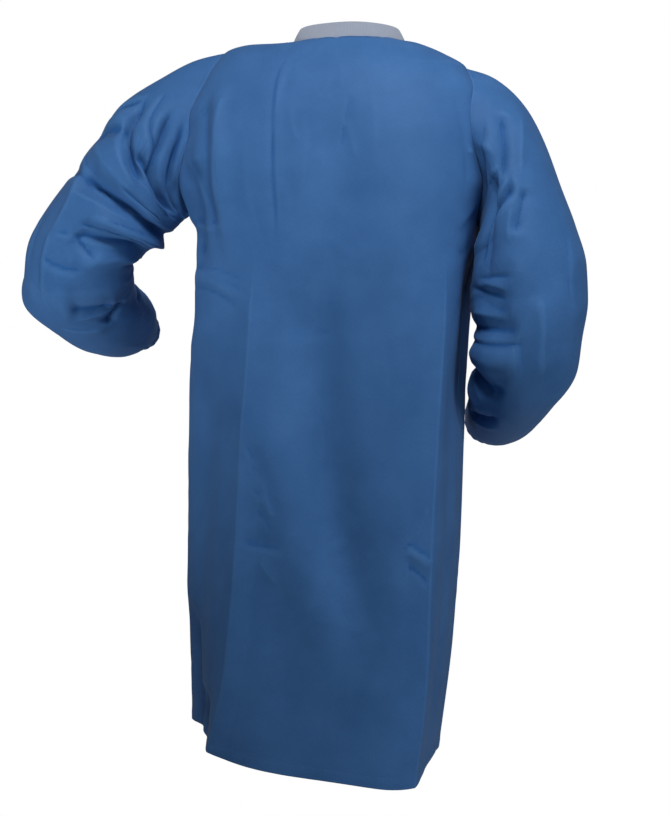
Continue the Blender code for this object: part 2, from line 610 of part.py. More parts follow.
def sleeve(name, table, folds, sign, finish):
    outer, inner, _ = sleeve_grids(table, folds, sign)
    for grid in (outer, inner):
        grid[0] += unit(grid[1] - grid[0]) * SEAM_GAP / 2
        grid[-1] += unit(grid[-2] - grid[-1]) * SEAM_GAP / 2
    if sign < 0:
        outer, inner = outer[:, ::-1], inner[:, ::-1]
    return wall_object(name, outer, inner, True, finish)


def cuff(name, table, folds, sign, finish):
    """The elastic casing that carries on from the sleeve's last row."""
    outer, inner, _ = sleeve_grids(table, folds, sign)
    run = unit((outer[-1] - outer[-3]).mean(axis=0))
    starts = [row[-1] + run * SEAM_GAP / 2 for row in (outer, inner)]
    outer, inner = (np.stack([start, start + run * CUFF_WIDTH]) for start in starts)
    if sign < 0:
        outer, inner = outer[:, ::-1], inner[:, ::-1]
    return wall_object(name, outer, inner, True, finish)


def collar(finish):
    """The knit band that stands on the neckline, open at the centre front."""
    end = 1 - COLLAR_END_GAP / 2 / 0.16
    shares = np.linspace(-end, end, COLLAR_COLUMNS + 1)
    foot, _ = body_surface(np.zeros(COLLAR_COLUMNS + 1), shares)
    tangent = unit(np.gradient(foot, axis=0))
    out = unit(np.stack([tangent[:, 1], -tangent[:, 0], np.zeros(COLLAR_COLUMNS + 1)], axis=-1))
    out *= np.sign((out * (foot - foot.mean(axis=0))).sum(axis=-1).mean())
    up = unit(np.cross(tangent, out))
    up *= np.sign(up[:, 2:3].mean())
    rise = unit(up * math.cos(COLLAR_LEAN) - out * math.sin(COLLAR_LEAN))
    face = unit(out * math.cos(COLLAR_LEAN) + up * math.sin(COLLAR_LEAN))
    heights = SEAM_GAP + (COLLAR_HEIGHT - SEAM_GAP) * np.linspace(0, 1, 4)
    outer = foot[None] + rise[None] * heights[:, None, None]
    inner = outer - face[None] * KNIT_WALL
    return wall_object("collar", outer, inner, False, finish)


def snap(number, down, finish):
    """One snap cap, lying on the left front at the centre front."""
    place, normal = body_surface(np.array([down]), np.array([1.0]))
    base = place[0] + normal[0] * (LAP_RAISE + SEAM_GAP)
    top_radius = 0.72 * SNAP_RADIUS
    sides = 12
    a = unit(np.cross(normal[0], [1.0, 0.0, 0.0]))
    b = np.cross(normal[0], a)
    turns = np.linspace(0, 2 * math.pi, sides, endpoint=False)
    spokes = np.cos(turns)[:, None] * a + np.sin(turns)[:, None] * b
    levels = ((0.0, SNAP_RADIUS), (0.6 * SNAP_HEIGHT, SNAP_RADIUS), (SNAP_HEIGHT, top_radius))
    points = [base + normal[0] * h + spoke * r for h, r in levels for spoke in spokes]
    faces = [tuple(range(sides))[::-1], tuple(range(2 * sides, 3 * sides))]
    for ring in range(2):
        for j in range(sides):
            k = (j + 1) % sides
            low, high = ring * sides, (ring + 1) * sides
            faces.append((low + j, low + k, high + k, high + j))
    mesh = bpy.data.meshes.new(f"snap_{number}")
    mesh.from_pydata([tuple(p) for p in points], [], faces)
    mesh.update()
    made = bpy.data.objects.new(f"snap_{number}", mesh)
    bpy.context.scene.collection.objects.link(made)
    mesh.materials.append(finish)
    return made


def clear_scene():
    for thing in list(bpy.data.objects):
        bpy.data.objects.remove(thing)


def build():
    clear_scene()
    cloth = material("blue_nonwoven", BLUE, 0.62)
    knit = material("grey_knit", KNIT_GREY, 0.9)
    plastic = material("white_plastic", SNAP_WHITE, 0.4)
    back_panel(cloth)
    front_panel("front_left", 1, cloth)
    front_panel("front_right", -1, cloth)
    for name, table, folds, sign in (
        ("left", LEFT_SLEEVE, LEFT_SLEEVE_FOLDS, 1),
        ("right", RIGHT_SLEEVE, RIGHT_SLEEVE_FOLDS, -1),
    ):
        sleeve(f"sleeve_{name}", table, folds, sign, cloth)
        cuff(f"cuff_{name}", table, folds, sign, cloth)
    collar(knit)
    for number, down in enumerate(np.linspace(SNAP_FIRST, SNAP_LAST, SNAP_COUNT), start=1):
        snap(number, down, plastic)


build()
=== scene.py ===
# %% [markdown]
# # A disposable lab coat, worn and empty
#
# The coat is light nonwoven cloth: a back, two fronts that lap, two long set-in sleeves with
# elastic at the wrists, a knit collar band and five snaps. It keeps the shape it has when it is worn.
# Cloth like this could be draped by simulation from a flat pattern, but then its outline drifts.
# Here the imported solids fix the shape, and each piece is laid again as a thin fine-meshed sheet
# on the same measures, so that small folds, seams and knit ribs can be added.

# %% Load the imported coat
import math

import bpy
import numpy as np
from mathutils import Matrix, Vector


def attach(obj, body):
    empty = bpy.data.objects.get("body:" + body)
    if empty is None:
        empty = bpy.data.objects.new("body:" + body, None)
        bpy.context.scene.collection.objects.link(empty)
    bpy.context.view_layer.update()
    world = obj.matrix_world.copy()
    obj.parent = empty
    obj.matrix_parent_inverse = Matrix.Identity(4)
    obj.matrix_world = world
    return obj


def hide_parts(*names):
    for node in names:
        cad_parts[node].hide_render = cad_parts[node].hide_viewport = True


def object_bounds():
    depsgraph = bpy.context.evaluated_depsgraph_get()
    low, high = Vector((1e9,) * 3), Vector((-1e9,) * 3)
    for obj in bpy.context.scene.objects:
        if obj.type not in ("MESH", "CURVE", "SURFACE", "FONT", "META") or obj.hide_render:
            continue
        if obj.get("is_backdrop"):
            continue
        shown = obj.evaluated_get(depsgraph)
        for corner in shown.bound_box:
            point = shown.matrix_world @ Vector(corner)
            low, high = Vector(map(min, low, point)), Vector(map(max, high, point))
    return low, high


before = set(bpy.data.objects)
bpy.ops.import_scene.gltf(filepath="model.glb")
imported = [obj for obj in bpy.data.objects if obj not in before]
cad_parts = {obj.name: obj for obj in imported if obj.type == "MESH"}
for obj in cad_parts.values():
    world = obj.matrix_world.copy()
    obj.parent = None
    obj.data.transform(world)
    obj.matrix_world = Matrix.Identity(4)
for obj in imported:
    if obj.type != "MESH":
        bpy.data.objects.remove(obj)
cad_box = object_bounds()
print("packed coat:", [round(b - a, 3) for a, b in zip(*cad_box)], "m")

# %% [markdown]
# ## The camera
#
# The coat was photographed from behind, a little to the coat's own right, with a level lens at hip
# height. The camera comes first. A fairly long lens two metres away gives the same flat view as
# the photo.

# %% Stand the camera behind the coat
camera = bpy.data.objects.new("camera", bpy.data.cameras.new("camera"))
bpy.context.scene.collection.objects.link(camera)
camera.data.lens = 66.2  # millimetres, on Blender's usual 36 mm sensor
camera.location = (-0.46224, 2.08444, -0.515)
looking = Vector((0.22495, -0.97437, 0.0))  # level, 13 degrees to one side
camera.rotation_euler = looking.to_track_quat("-Z", "Y").to_euler()
camera.data.clip_end = 20
bpy.context.scene.camera = camera
print("camera", round(camera.location.length, 2), "m from the neck")

# %% [markdown]
# ## Small tools for curves and folds
#
# A fold in cloth is a soft ridge or trough along a bent line. Sculpting each by hand is slow to
# change, so every fold here is one row of numbers: three places on its path, a width, a height
# and a lean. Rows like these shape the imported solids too. Many of them were set again here,
# nearer to the photo.

# %% Curves, ramps and one fold
def unit(vectors):
    """Vectors of length one."""
    return vectors / np.maximum(np.linalg.norm(vectors, axis=-1, keepdims=True), 1e-12)


def ramp(value):
    """0 to 1 along a smooth S."""
    t = np.clip(value, 0.0, 1.0)
    return t * t * (3 - 2 * t)


def run_of(points):
    """Distance along a line of points, from 0 at its first one."""
    return np.concatenate([[0], np.cumsum(np.linalg.norm(np.diff(points, axis=0), axis=1))])


def curve_through(keys, values, at):
    """Values read between the keys, on a smooth curve that never overshoots them."""
    keys, values = np.asarray(keys, float), np.asarray(values, float)
    steps = np.diff(keys)
    slopes = np.diff(values) / steps
    tangents = np.zeros(len(keys))
    both = slopes[:-1] * slopes[1:]
    safe = np.where(both > 0, slopes[:-1] + slopes[1:], 1)
    tangents[1:-1] = np.where(both > 0, 2 * both / safe, 0.0)
    tangents[0], tangents[-1] = slopes[0], slopes[-1]
    at = np.clip(np.asarray(at, float), keys[0], keys[-1])
    i = np.clip(np.searchsorted(keys, at, side="right") - 1, 0, len(keys) - 2)
    h = steps[i]
    t = (at - keys[i]) / h
    return (
        (2 * t**3 - 3 * t**2 + 1) * values[i]
        + (t**3 - 2 * t**2 + t) * h * tangents[i]
        + (-2 * t**3 + 3 * t**2) * values[i + 1]
        + (t**3 - t**2) * h * tangents[i + 1]
    )


FOLD_END = 0.25  # share of its path over which a fold fades out at each end
LEAN_PULL = 1.6  # brings a lean's own ridge and trough to about the height it names


def path_points(places, count=13):
    """Places along a bent line through three places, as a parabola through the middle one."""
    a, b, c = (np.array(place, float) for place in places)
    control = 2 * b - 0.5 * (a + c)
    t = np.linspace(0.0, 1.0, count)[:, None]
    return (1 - t) ** 2 * a + 2 * t * (1 - t) * control + t**2 * c


def fold_profile(across, down, path, width, height, lean, power=2.0):
    """Height of one fold at cloth places (across, down), both in metres."""
    best = np.full(across.shape, 1e9)
    side = np.zeros(across.shape)
    along = np.zeros(across.shape)
    segments = len(path) - 1
    for k in range(segments):
        a, b = path[k], path[k + 1]
        step = b - a
        length2 = float(step @ step)
        rel_x, rel_y = across - a[0], down - a[1]
        t = np.clip((rel_x * step[0] + rel_y * step[1]) / length2, 0.0, 1.0)
        distance = np.hypot(rel_x - t * step[0], rel_y - t * step[1])
        nearer = distance < best
        best = np.where(nearer, distance, best)
        turn = (step[0] * rel_y - step[1] * rel_x) / math.sqrt(length2)
        side = np.where(nearer, np.sign(turn) * distance, side)
        along = np.where(nearer, (k + t) / segments, along)
    ends = ramp(along / FOLD_END) * ramp((1 - along) / FOLD_END)
    bell = np.exp(-((best / width) ** power))
    return ends * bell * (height + lean * LEAN_PULL * side / width)


path = path_points([(-0.1, 0.0), (0.0, 0.0), (0.1, 0.0)])
crest = fold_profile(np.zeros(1), np.zeros(1), path, width=0.010, height=0.005, lean=0.0)
print("a fold 5 mm high stands", round(1000 * float(crest[0]), 1), "mm proud on its crest")

# %% [markdown]
# ## Crumple
#
# Nonwoven cloth is crisp, closer to paper than to cotton. It was folded small in its bag, so it
# is covered with faint flat facets between short straight creases. Smooth noise looks like
# rubber here. Instead, random heights are set on a bent triangle grid and joined by flat facets.

# %% Flat facets between short creases
def soft_noise(x, y, seed):
    """Smooth random waves between about -1 and 1, the same on every run."""
    chance = np.random.default_rng(seed)
    total = np.zeros(np.shape(x))
    for _ in range(9):
        turn, rate = chance.uniform(0, 2 * math.pi), chance.uniform(0.6, 1.6)
        start = chance.uniform(0, 2 * math.pi)
        total = total + np.sin(rate * (x * math.cos(turn) + y * math.sin(turn)) + start)
    return total / 4.0


SKEW = 0.3660254  # (sqrt(3) - 1) / 2, which leans a square grid into one of equal triangles
GRID = 64  # random heights along each side, before they repeat
GRID_BEND = 0.45  # how far the triangles are bent out of line, as a share of their size


def facets(x, y, size, seed):
    """Random heights, -1 to 1, joined by flat facets about `size` metres across."""
    x = x / size + GRID_BEND * soft_noise(x / size * 0.9, y / size * 0.9, seed + 1)
    y = y / size + GRID_BEND * soft_noise(x * 0.9, y / size * 0.9, seed + 2)
    skew = (x + y) * SKEW
    i, j = np.floor(x + skew), np.floor(y + skew)
    f, g = x + skew - i, y + skew - j
    heights = np.random.default_rng(seed).uniform(-1, 1, (GRID, GRID))
    i, j = i.astype(int) % GRID, j.astype(int) % GRID
    near, far = heights[i, j], heights[(i + 1) % GRID, (j + 1) % GRID]
    third = np.where(f > g, heights[(i + 1) % GRID, j], heights[i, (j + 1) % GRID])
    high, low = np.maximum(f, g), np.minimum(f, g)
    return near * (1 - high) + third * (high - low) + far * low


print("tools ready")

# %% [markdown]
# ## The coat's measures
#
# The body is a stack of rings from neckline to hem, and each sleeve a row of sections from
# armhole to cuff, all in metres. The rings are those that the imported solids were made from. The
# sleeves' lower halves were moved a little since, to fit the photo's outline. A ring gives its
# height at the back, the front and both sides, its reach, and how boxy it is.

# %% Rings of the body
# z is given at the centre back, the centre front and the two sides. mid_back and mid_front are x
# at the two centres, left, right, back and front are the ring's reach, side_y is y at the side
# seams. A square of 2 makes that part an ellipse, and more makes it boxy.
BODY_COLUMNS = (
    "down z_back z_front z_left z_right mid_back mid_front "
    "left right back front side_y square_left square_right square_front"
).split()
BODY_RINGS = [
    (0.000, 0.000, -0.078, 0.004, 0.000, 0.0, 0.0,
     0.079, -0.083, 0.058, -0.062, 0.000, 2.1, 2.1, 2.1),
    (0.010, -0.014, -0.090, 0.006, -0.006, 0.0, 0.0,
     0.104, -0.108, 0.070, -0.072, 0.0, 2.1, 2.1, 2.1),
    (0.024, -0.034, -0.106, 0.007, -0.020, 0.0, 0.0,
     0.138, -0.140, 0.084, -0.085, 0.0, 2.1, 2.2, 2.1),
    (0.040, -0.056, -0.122, 0.001, -0.040, 0.0, 0.0,
     0.172, -0.170, 0.095, -0.095, 0.0, 2.2, 2.3, 2.2),
    (0.075, -0.092, -0.145, -0.050, -0.074, 0.0, 0.0,
     0.212, -0.186, 0.106, -0.106, 0.0, 2.4, 2.6, 2.4),
    (0.135, -0.145, -0.185, -0.112, -0.126, 0.0, 0.0,
     0.242, -0.193, 0.114, -0.116, 0.0, 2.6, 2.9, 2.6),
    (0.205, -0.205, -0.235, -0.185, -0.200, 0.0, 0.003,
     0.254, -0.195, 0.118, -0.122, 0.0, 2.6, 3.2, 2.7),
    (0.262, -0.262, -0.275, -0.235, -0.262, 0.0, 0.008,
     0.237, -0.186, 0.119, -0.124, -0.002, 2.6, 3.4, 2.7),
    (0.340, -0.338, -0.342, -0.325, -0.338, 0.003, 0.025,
     0.2265, -0.176, 0.120, -0.124, -0.006, 2.5, 3.6, 2.8),
    (0.520, -0.520, -0.520, -0.515, -0.518, 0.010, 0.036,
     0.2345, -0.163, 0.121, -0.126, -0.012, 2.4, 4.0, 2.9),
    (0.680, -0.682, -0.678, -0.672, -0.676, 0.017, 0.044,
     0.2395, -0.156, 0.122, -0.130, -0.018, 2.4, 4.2, 3.0),
    (0.830, -0.835, -0.825, -0.822, -0.825, 0.023, 0.053,
     0.243, -0.144, 0.123, -0.137, -0.026, 2.4, 4.4, 3.1),
    (1.000, -1.014, -0.990, -0.985, -0.992, 0.030, 0.060,
     0.240, -0.121, 0.125, -0.146, -0.036, 2.5, 4.8, 3.2),
]
print(len(BODY_RINGS), "rings")

# %% [markdown]
# Two pressed creases run down the back, where the coat was folded flat in its bag. Beside them
# the cloth is slack, and its broad hollows and ridges give the skirt its light and dark bands.
# These main folds are placed from the photo, a row for each. A simulation would put them
# where it likes.

# %% Pressed creases and the body's folds
HEM_TILT = 0.08  # rise of the lowest ring towards the coat's own left, per metre

# The back's two pressed creases. Each row has a distance down, and the left and the right
# crease as shares of the half girth from the centre back.
CREASES = [
    (0.000, 0.185, -0.306),
    (0.340, 0.181, -0.306),
    (0.550, 0.187, -0.292),
    (0.720, 0.190, -0.281),
    (0.880, 0.205, -0.281),
    (1.000, 0.250, -0.263),
]
SHOULDER_DOWN = 0.040  # the ring at the shoulder points
UNDERARM_DOWN = 0.262  # the ring at the underarms
HEM_DOWN = 1.000

# Folds of the body. A path runs through up to three places, each a share of the half girth from
# the centre back (0.5 at the left side seam, 1 at the centre front, minus towards the coat's own
# right) and a height. A ridge has a height above zero, a trough below, and a lean shifts one into
# a ridge beside a trough. A row reads: share and height three times, then width, height, lean.
BODY_FOLDS = [
    # the slack side of the left crease, and the dip of the side near the hem
    (0.330, -0.400, 0.335, -0.720, 0.360, -1.100, 0.048, -0.0170, 0.0),
    (0.410, -0.780, 0.400, -0.930, 0.390, -1.150, 0.022, -0.0150, 0.0),
    (0.330, -0.900, 0.318, -1.000, 0.310, -1.200, 0.026, -0.0130, 0.0),
    # the slack side of the right crease
    (-0.375, -0.360, -0.370, -0.700, -0.360, -1.100, 0.026, -0.0060, 0.0),
    # drag line from the raised left arm to the top of the left crease
    (0.440, -0.318, 0.300, -0.334, 0.165, -0.375, 0.010, 0.0004, 0.0008),
    # slack cloth standing at the left shoulder blade
    (0.395, -0.080, 0.400, -0.180, 0.425, -0.300, 0.032, -0.0120, 0.0),
    # the edge of that slack, from the armhole down to the side
    (0.365, -0.075, 0.288, -0.150, 0.275, -0.330, 0.016, 0.0, -0.0075),
    (0.350, -0.160, 0.355, -0.240, 0.375, -0.340, 0.026, -0.0130, 0.0),
    # the hollow of the side under the left arm, and a shallow one on the right
    (0.475, -0.235, 0.480, -0.325, 0.470, -0.430, 0.032, -0.0160, 0.0),
    (-0.470, -0.290, -0.470, -0.420, -0.470, -0.560, 0.035, -0.0110, 0.0),
    # long press line down the left of the back
    (0.192, -0.010, 0.128, -0.150, 0.125, -0.320, 0.007, 0.0, -0.0010),
    # crumpled place on the left at the thigh
    (0.168, -0.560, 0.130, -0.615, 0.080, -0.685, 0.011, -0.0008, 0.0006),
    (0.185, -0.700, 0.125, -0.704, 0.060, -0.710, 0.011, -0.0006, 0.0005),
    # short ridges by the right crease
    (-0.220, -0.700, -0.250, -0.715, -0.285, -0.730, 0.008, 0.0016, 0.0),
    # broad hollows and swells of the hanging cloth
    (0.000, -0.100, -0.020, -0.240, -0.010, -0.380, 0.045, -0.0045, 0.0),
    (0.045, -0.290, 0.000, -0.560, -0.150, -0.900, 0.042, -0.0160, 0.0),
    (0.165, -0.480, 0.060, -0.660, -0.110, -0.880, 0.038, 0.0085, 0.0),
    (0.110, -0.720, 0.060, -0.850, 0.040, -0.980, 0.040, -0.0040, 0.0),
    (-0.180, -0.240, -0.190, -0.400, -0.200, -0.560, 0.040, 0.0040, 0.0),
    # the full back panel beside the right armhole
    (-0.430, -0.045, -0.415, -0.140, -0.440, -0.260, 0.036, 0.0070, 0.0),
    # fronts
    (0.640, -0.330, 0.660, -0.640, 0.690, -1.100, 0.024, 0.0060, 0.0),
    (0.740, -0.420, 0.760, -0.700, 0.800, -1.100, 0.030, -0.0060, 0.0),
    (-0.640, -0.340, -0.650, -0.650, -0.680, -1.100, 0.022, 0.0060, 0.0),
    (-0.760, -0.380, -0.770, -0.680, -0.790, -1.100, 0.030, -0.0055, 0.0),
    (0.560, -0.300, 0.660, -0.350, 0.780, -0.430, 0.016, 0.0045, 0.0),
    (-0.560, -0.310, -0.680, -0.350, -0.800, -0.420, 0.016, 0.0040, 0.0),
    (0.700, -0.090, 0.720, -0.150, 0.700, -0.230, 0.020, -0.0040, 0.0),
    (-0.700, -0.090, -0.720, -0.150, -0.700, -0.230, 0.020, -0.0040, 0.0),
]
CREASE_RISE = 0.0070  # how far the pressed creases of the back stand out
CREASE_SLOPE = 0.030  # width over which they rise
CREASE_START, CREASE_FULL = 0.290, 0.430  # distances down between which they begin
HALF_GIRTH = 0.57  # mean half girth, which turns shares into metres
print(len(BODY_FOLDS), "main folds on the body")

# %% [markdown]
# Fine folds follow, for the render alone. They are narrower and crisper than the main ones, and
# the last number of each row makes the crest sharp (1) or round (2). Some sit where the photo
# shows them: the press line that runs down from the neck, the drag lines beside the arms, the
# crumpled places at the thigh. The fronts, which the photo hides, get similar ones.

# %% Fine folds of the body
FINE_BODY_FOLDS = [
    # press line from the neck down the left of the back, and the ones that meet it
    (0.192, -0.008, 0.128, -0.150, 0.125, -0.320, 0.0026, 0.0, -0.0009, 1.3),
    (0.100, -0.100, 0.088, -0.130, 0.070, -0.156, 0.0028, 0.0007, 0.0004, 1.3),
    (0.098, -0.200, 0.092, -0.240, 0.096, -0.290, 0.0035, 0.0005, 0.0005, 1.3),
    (0.176, -0.215, 0.160, -0.275, 0.134, -0.312, 0.0035, -0.0006, 0.0, 1.3),
    (0.200, -0.130, 0.190, -0.200, 0.176, -0.270, 0.0045, 0.0009, 0.0006, 1.3),
    (0.140, -0.040, 0.132, -0.120, 0.138, -0.190, 0.0050, -0.0008, 0.0006, 1.4),
    # below the neck, in the middle of the back
    (-0.056, -0.088, -0.040, -0.124, -0.025, -0.170, 0.0050, -0.0016, 0.0009, 1.3),
    (0.044, -0.090, 0.020, -0.095, -0.004, -0.090, 0.0040, 0.0009, 0.0, 1.4),
    (-0.030, -0.120, -0.058, -0.150, -0.070, -0.190, 0.0050, 0.0010, 0.0006, 1.3),
    (0.060, -0.110, 0.050, -0.170, 0.062, -0.230, 0.0050, -0.0008, 0.0006, 1.4),
    (-0.110, -0.060, -0.120, -0.130, -0.112, -0.200, 0.0060, 0.0007, 0.0005, 1.4),
    (-0.020, -0.040, -0.024, -0.060, -0.020, -0.085, 0.0050, 0.0008, 0.0, 1.4),
    # drag lines at the left arm
    (0.300, -0.070, 0.272, -0.150, 0.262, -0.290, 0.0050, 0.0012, 0.0016, 1.3),
    (0.310, -0.070, 0.276, -0.130, 0.252, -0.210, 0.0040, 0.0008, -0.0006, 1.3),
    (0.395, -0.150, 0.330, -0.190, 0.300, -0.240, 0.0050, -0.0016, 0.0010, 1.4),
    (0.440, -0.250, 0.340, -0.262, 0.250, -0.262, 0.0050, 0.0014, 0.0010, 1.3),
    (0.470, -0.330, 0.320, -0.322, 0.150, -0.362, 0.0035, 0.0004, 0.0009, 1.2),
    (0.430, -0.345, 0.330, -0.350, 0.230, -0.372, 0.0035, -0.0006, 0.0005, 1.3),
    (0.300, -0.344, 0.230, -0.366, 0.150, -0.415, 0.0045, 0.0006, 0.0, 1.4),
    # short folds beside the right arm
    (-0.330, -0.090, -0.350, -0.160, -0.345, -0.230, 0.0050, -0.0012, 0.0010, 1.3),
    (-0.420, -0.230, -0.380, -0.256, -0.330, -0.270, 0.0050, 0.0016, 0.0008, 1.3),
    (-0.415, -0.160, -0.385, -0.164, -0.350, -0.172, 0.0070, 0.0050, 0.0, 1.4),
    (-0.430, -0.280, -0.390, -0.300, -0.330, -0.306, 0.0050, -0.0014, 0.0, 1.3),
    (-0.430, -0.120, -0.400, -0.160, -0.360, -0.180, 0.0050, 0.0012, 0.0, 1.4),
    # crumpled places low on the back
    (0.178, -0.560, 0.160, -0.585, 0.156, -0.612, 0.0040, -0.0009, 0.0007, 1.2),
    (0.128, -0.604, 0.116, -0.640, 0.094, -0.664, 0.0040, 0.0008, 0.0007, 1.2),
    (0.166, -0.618, 0.144, -0.636, 0.118, -0.634, 0.0038, 0.0008, 0.0005, 1.2),
    (0.150, -0.655, 0.120, -0.668, 0.108, -0.692, 0.0038, -0.0008, 0.0004, 1.2),
    (0.190, -0.560, 0.160, -0.586, 0.120, -0.598, 0.0035, 0.0006, 0.0, 1.2),
    (0.192, -0.700, 0.130, -0.704, 0.062, -0.712, 0.0040, -0.0006, 0.0006, 1.2),
    (0.170, -0.690, 0.150, -0.664, 0.140, -0.630, 0.0035, 0.0006, 0.0, 1.3),
    (0.130, -0.716, 0.110, -0.740, 0.080, -0.752, 0.0045, 0.0014, 0.0, 1.3),
    (-0.222, -0.700, -0.252, -0.712, -0.292, -0.722, 0.0045, 0.0024, 0.0012, 1.2),
    (-0.222, -0.726, -0.250, -0.734, -0.280, -0.752, 0.0045, -0.0020, 0.0, 1.2),
    (-0.240, -0.690, -0.262, -0.668, -0.270, -0.640, 0.0045, 0.0012, 0.0, 1.3),
    (-0.060, -0.800, -0.100, -0.812, -0.160, -0.806, 0.0050, 0.0008, 0.0, 1.4),
    (0.020, -0.520, 0.000, -0.560, 0.010, -0.610, 0.0060, 0.0008, 0.0006, 1.4),
    (-0.150, -0.420, -0.170, -0.480, -0.160, -0.540, 0.0060, -0.0008, 0.0006, 1.4),
    # the sides and the fronts
    (0.470, -0.420, 0.440, -0.520, 0.455, -0.640, 0.0060, 0.0016, 0.0010, 1.3),
    (0.560, -0.300, 0.640, -0.340, 0.740, -0.390, 0.0060, 0.0022, 0.0012, 1.3),
    (0.580, -0.350, 0.660, -0.400, 0.720, -0.480, 0.0060, -0.0018, 0.0010, 1.3),
    (0.620, -0.120, 0.660, -0.170, 0.680, -0.240, 0.0060, -0.0020, 0.0012, 1.3),
    (0.700, -0.080, 0.740, -0.130, 0.800, -0.160, 0.0050, 0.0014, 0.0, 1.4),
    (0.760, -0.540, 0.800, -0.600, 0.870, -0.640, 0.0055, 0.0018, 0.0010, 1.3),
    (0.700, -0.700, 0.760, -0.716, 0.820, -0.708, 0.0050, -0.0018, 0.0, 1.3),
    (-0.560, -0.310, -0.650, -0.350, -0.770, -0.380, 0.0060, 0.0022, 0.0012, 1.3),
    (-0.590, -0.370, -0.650, -0.430, -0.700, -0.520, 0.0060, -0.0018, 0.0010, 1.3),
    (-0.620, -0.120, -0.670, -0.170, -0.690, -0.240, 0.0060, -0.0020, 0.0012, 1.3),
    (-0.720, -0.070, -0.750, -0.120, -0.810, -0.150, 0.0050, 0.0014, 0.0, 1.4),
    (-0.740, -0.600, -0.800, -0.640, -0.880, -0.650, 0.0055, 0.0018, 0.0010, 1.3),
    (-0.680, -0.780, -0.740, -0.800, -0.800, -0.790, 0.0050, -0.0018, 0.0, 1.3),
    (-0.470, -0.560, -0.490, -0.640, -0.480, -0.740, 0.0060, 0.0014, 0.0, 1.4),
]
print(len(FINE_BODY_FOLDS), "fine folds on the body")

# %% [markdown]
# ## The body's surface
#
# Every place on the body is found from how far down it lies and its share of the half girth: 0
# at the centre back, half at a side seam, 1 at the centre front. A ring is drawn in four
# quarters, each measured along its length, so the cloth is spread evenly and never bunches.

# %% From measures to places on the body
CORNER_DROP, CORNER_START = 0.007, 0.80  # how far the hem's right corner hangs, and from where
CORNER_PLACE, CORNER_WIDTH = 0.53, 0.20  # as shares of the quarter ring, from the centre back
QUARTER_STEPS = 220


def quarter(ring, side, part):
    """A quarter of a ring, from the centre of the back or front to the left or right seam."""
    middle, sides = ring[f"mid_{part}"], "left" if side > 0 else "right"
    square = ring["square_front" if part == "front" else f"square_{sides}"]
    steps = np.linspace(0.0, math.pi / 2, QUARTER_STEPS + 1)
    across, deep = np.sin(steps) ** (2 / square), np.cos(steps) ** (2 / square)
    x = middle + (ring[sides] - middle) * across
    y = ring["side_y"] + deep * (ring[part] - ring["side_y"])
    z_side = ring[f"z_{sides}"]
    z = z_side + (ring[f"z_{part}"] - z_side) * deep**2 + ring["tilt"] * (x - ring["mid_back"])
    return np.stack([x, y, z], axis=-1)


def body_places(downs, shares):
    """Bare body points for rows at these distances down. shares has a row for each of them."""
    shares = np.where(shares > 1, shares - 2, np.where(shares < -1, shares + 2, shares))
    places = np.zeros(shares.shape + (3,))
    keys = [row[0] for row in BODY_RINGS]
    read = {
        name: curve_through(keys, [row[k] for row in BODY_RINGS], downs)
        for k, name in enumerate(BODY_COLUMNS)
    }
    read["tilt"] = HEM_TILT * ramp((downs - UNDERARM_DOWN) / (HEM_DOWN - UNDERARM_DOWN))
    drops = CORNER_DROP * ramp((downs - CORNER_START) / (HEM_DOWN - CORNER_START))
    for i, drop in enumerate(drops):
        ring = {name: values[i] for name, values in read.items()}
        size = np.abs(shares[i])
        for side, part in ((1, "back"), (1, "front"), (-1, "back"), (-1, "front")):
            line = quarter(ring, side, part)
            lengths = run_of(line)
            way = lengths / lengths[-1]
            if side < 0 and part == "back":  # the hem's corner at the right crease hangs lower
                line[:, 2] -= drop * np.exp(-(((way - CORNER_PLACE) / CORNER_WIDTH) ** 2))
            here = ((shares[i] >= 0) == (side > 0)) & ((size > 0.5) == (part == "front"))
            at = (1 - size[here]) * 2 if part == "front" else size[here] * 2
            for k in range(3):
                places[i, here, k] = np.interp(at, way, line[:, k])
    return places


centre = body_places(np.linspace(0, HEM_DOWN, 60), np.zeros((60, 1)))[:, 0]
print("centre back", round(float(run_of(centre)[-1]), 3), "m from neck to hem, without folds")

# %% [markdown]
# Folds are added along the cloth's outward direction. The main folds come first, then the two
# pressed creases, which stand out as in the solids, then the fine folds and the crumple. At each
# seam the cloth dips a little and puckers, because the thread pulls it in.

# %% Folds, creases, crumple and seams of the body
def crease_shares(downs):
    """Where the back's two pressed creases run at these distances down."""
    keys = [row[0] for row in CREASES]
    return [curve_through(keys, [row[k] for row in CREASES], downs) for k in (1, 2)]


def armhole_share(downs, cut):
    """Share of the quarter girth where the armhole's edge runs."""
    depth, bent = cut
    t = (downs - SHOULDER_DOWN) / (UNDERARM_DOWN - SHOULDER_DOWN)
    inside = (t > 0) & (t < 1)
    return 1.0 - np.where(inside, depth * np.sin(math.pi * np.clip(t, 0, 1) ** bent) ** 0.75, 0.0)


def body_path(*row):
    """The path of a fold of the body in metres, from the three places in its row."""
    return path_points([(row[k] * HALF_GIRTH, row[k + 1]) for k in (0, 2, 4)])


def main_folds(across, heights):
    """Height of every main fold at places on the body's cloth."""
    total = np.zeros(across.shape)
    for *places, width, height, lean in BODY_FOLDS:
        total += fold_profile(across, heights, body_path(*places), width, height, lean)
    return total


SEAM_DEPTH, SEAM_WIDTH = 0.0006, 0.0030
PUCKER_DEPTH, PUCKER_REACH, PUCKER_SIZE = 0.0006, 0.011, 0.0045


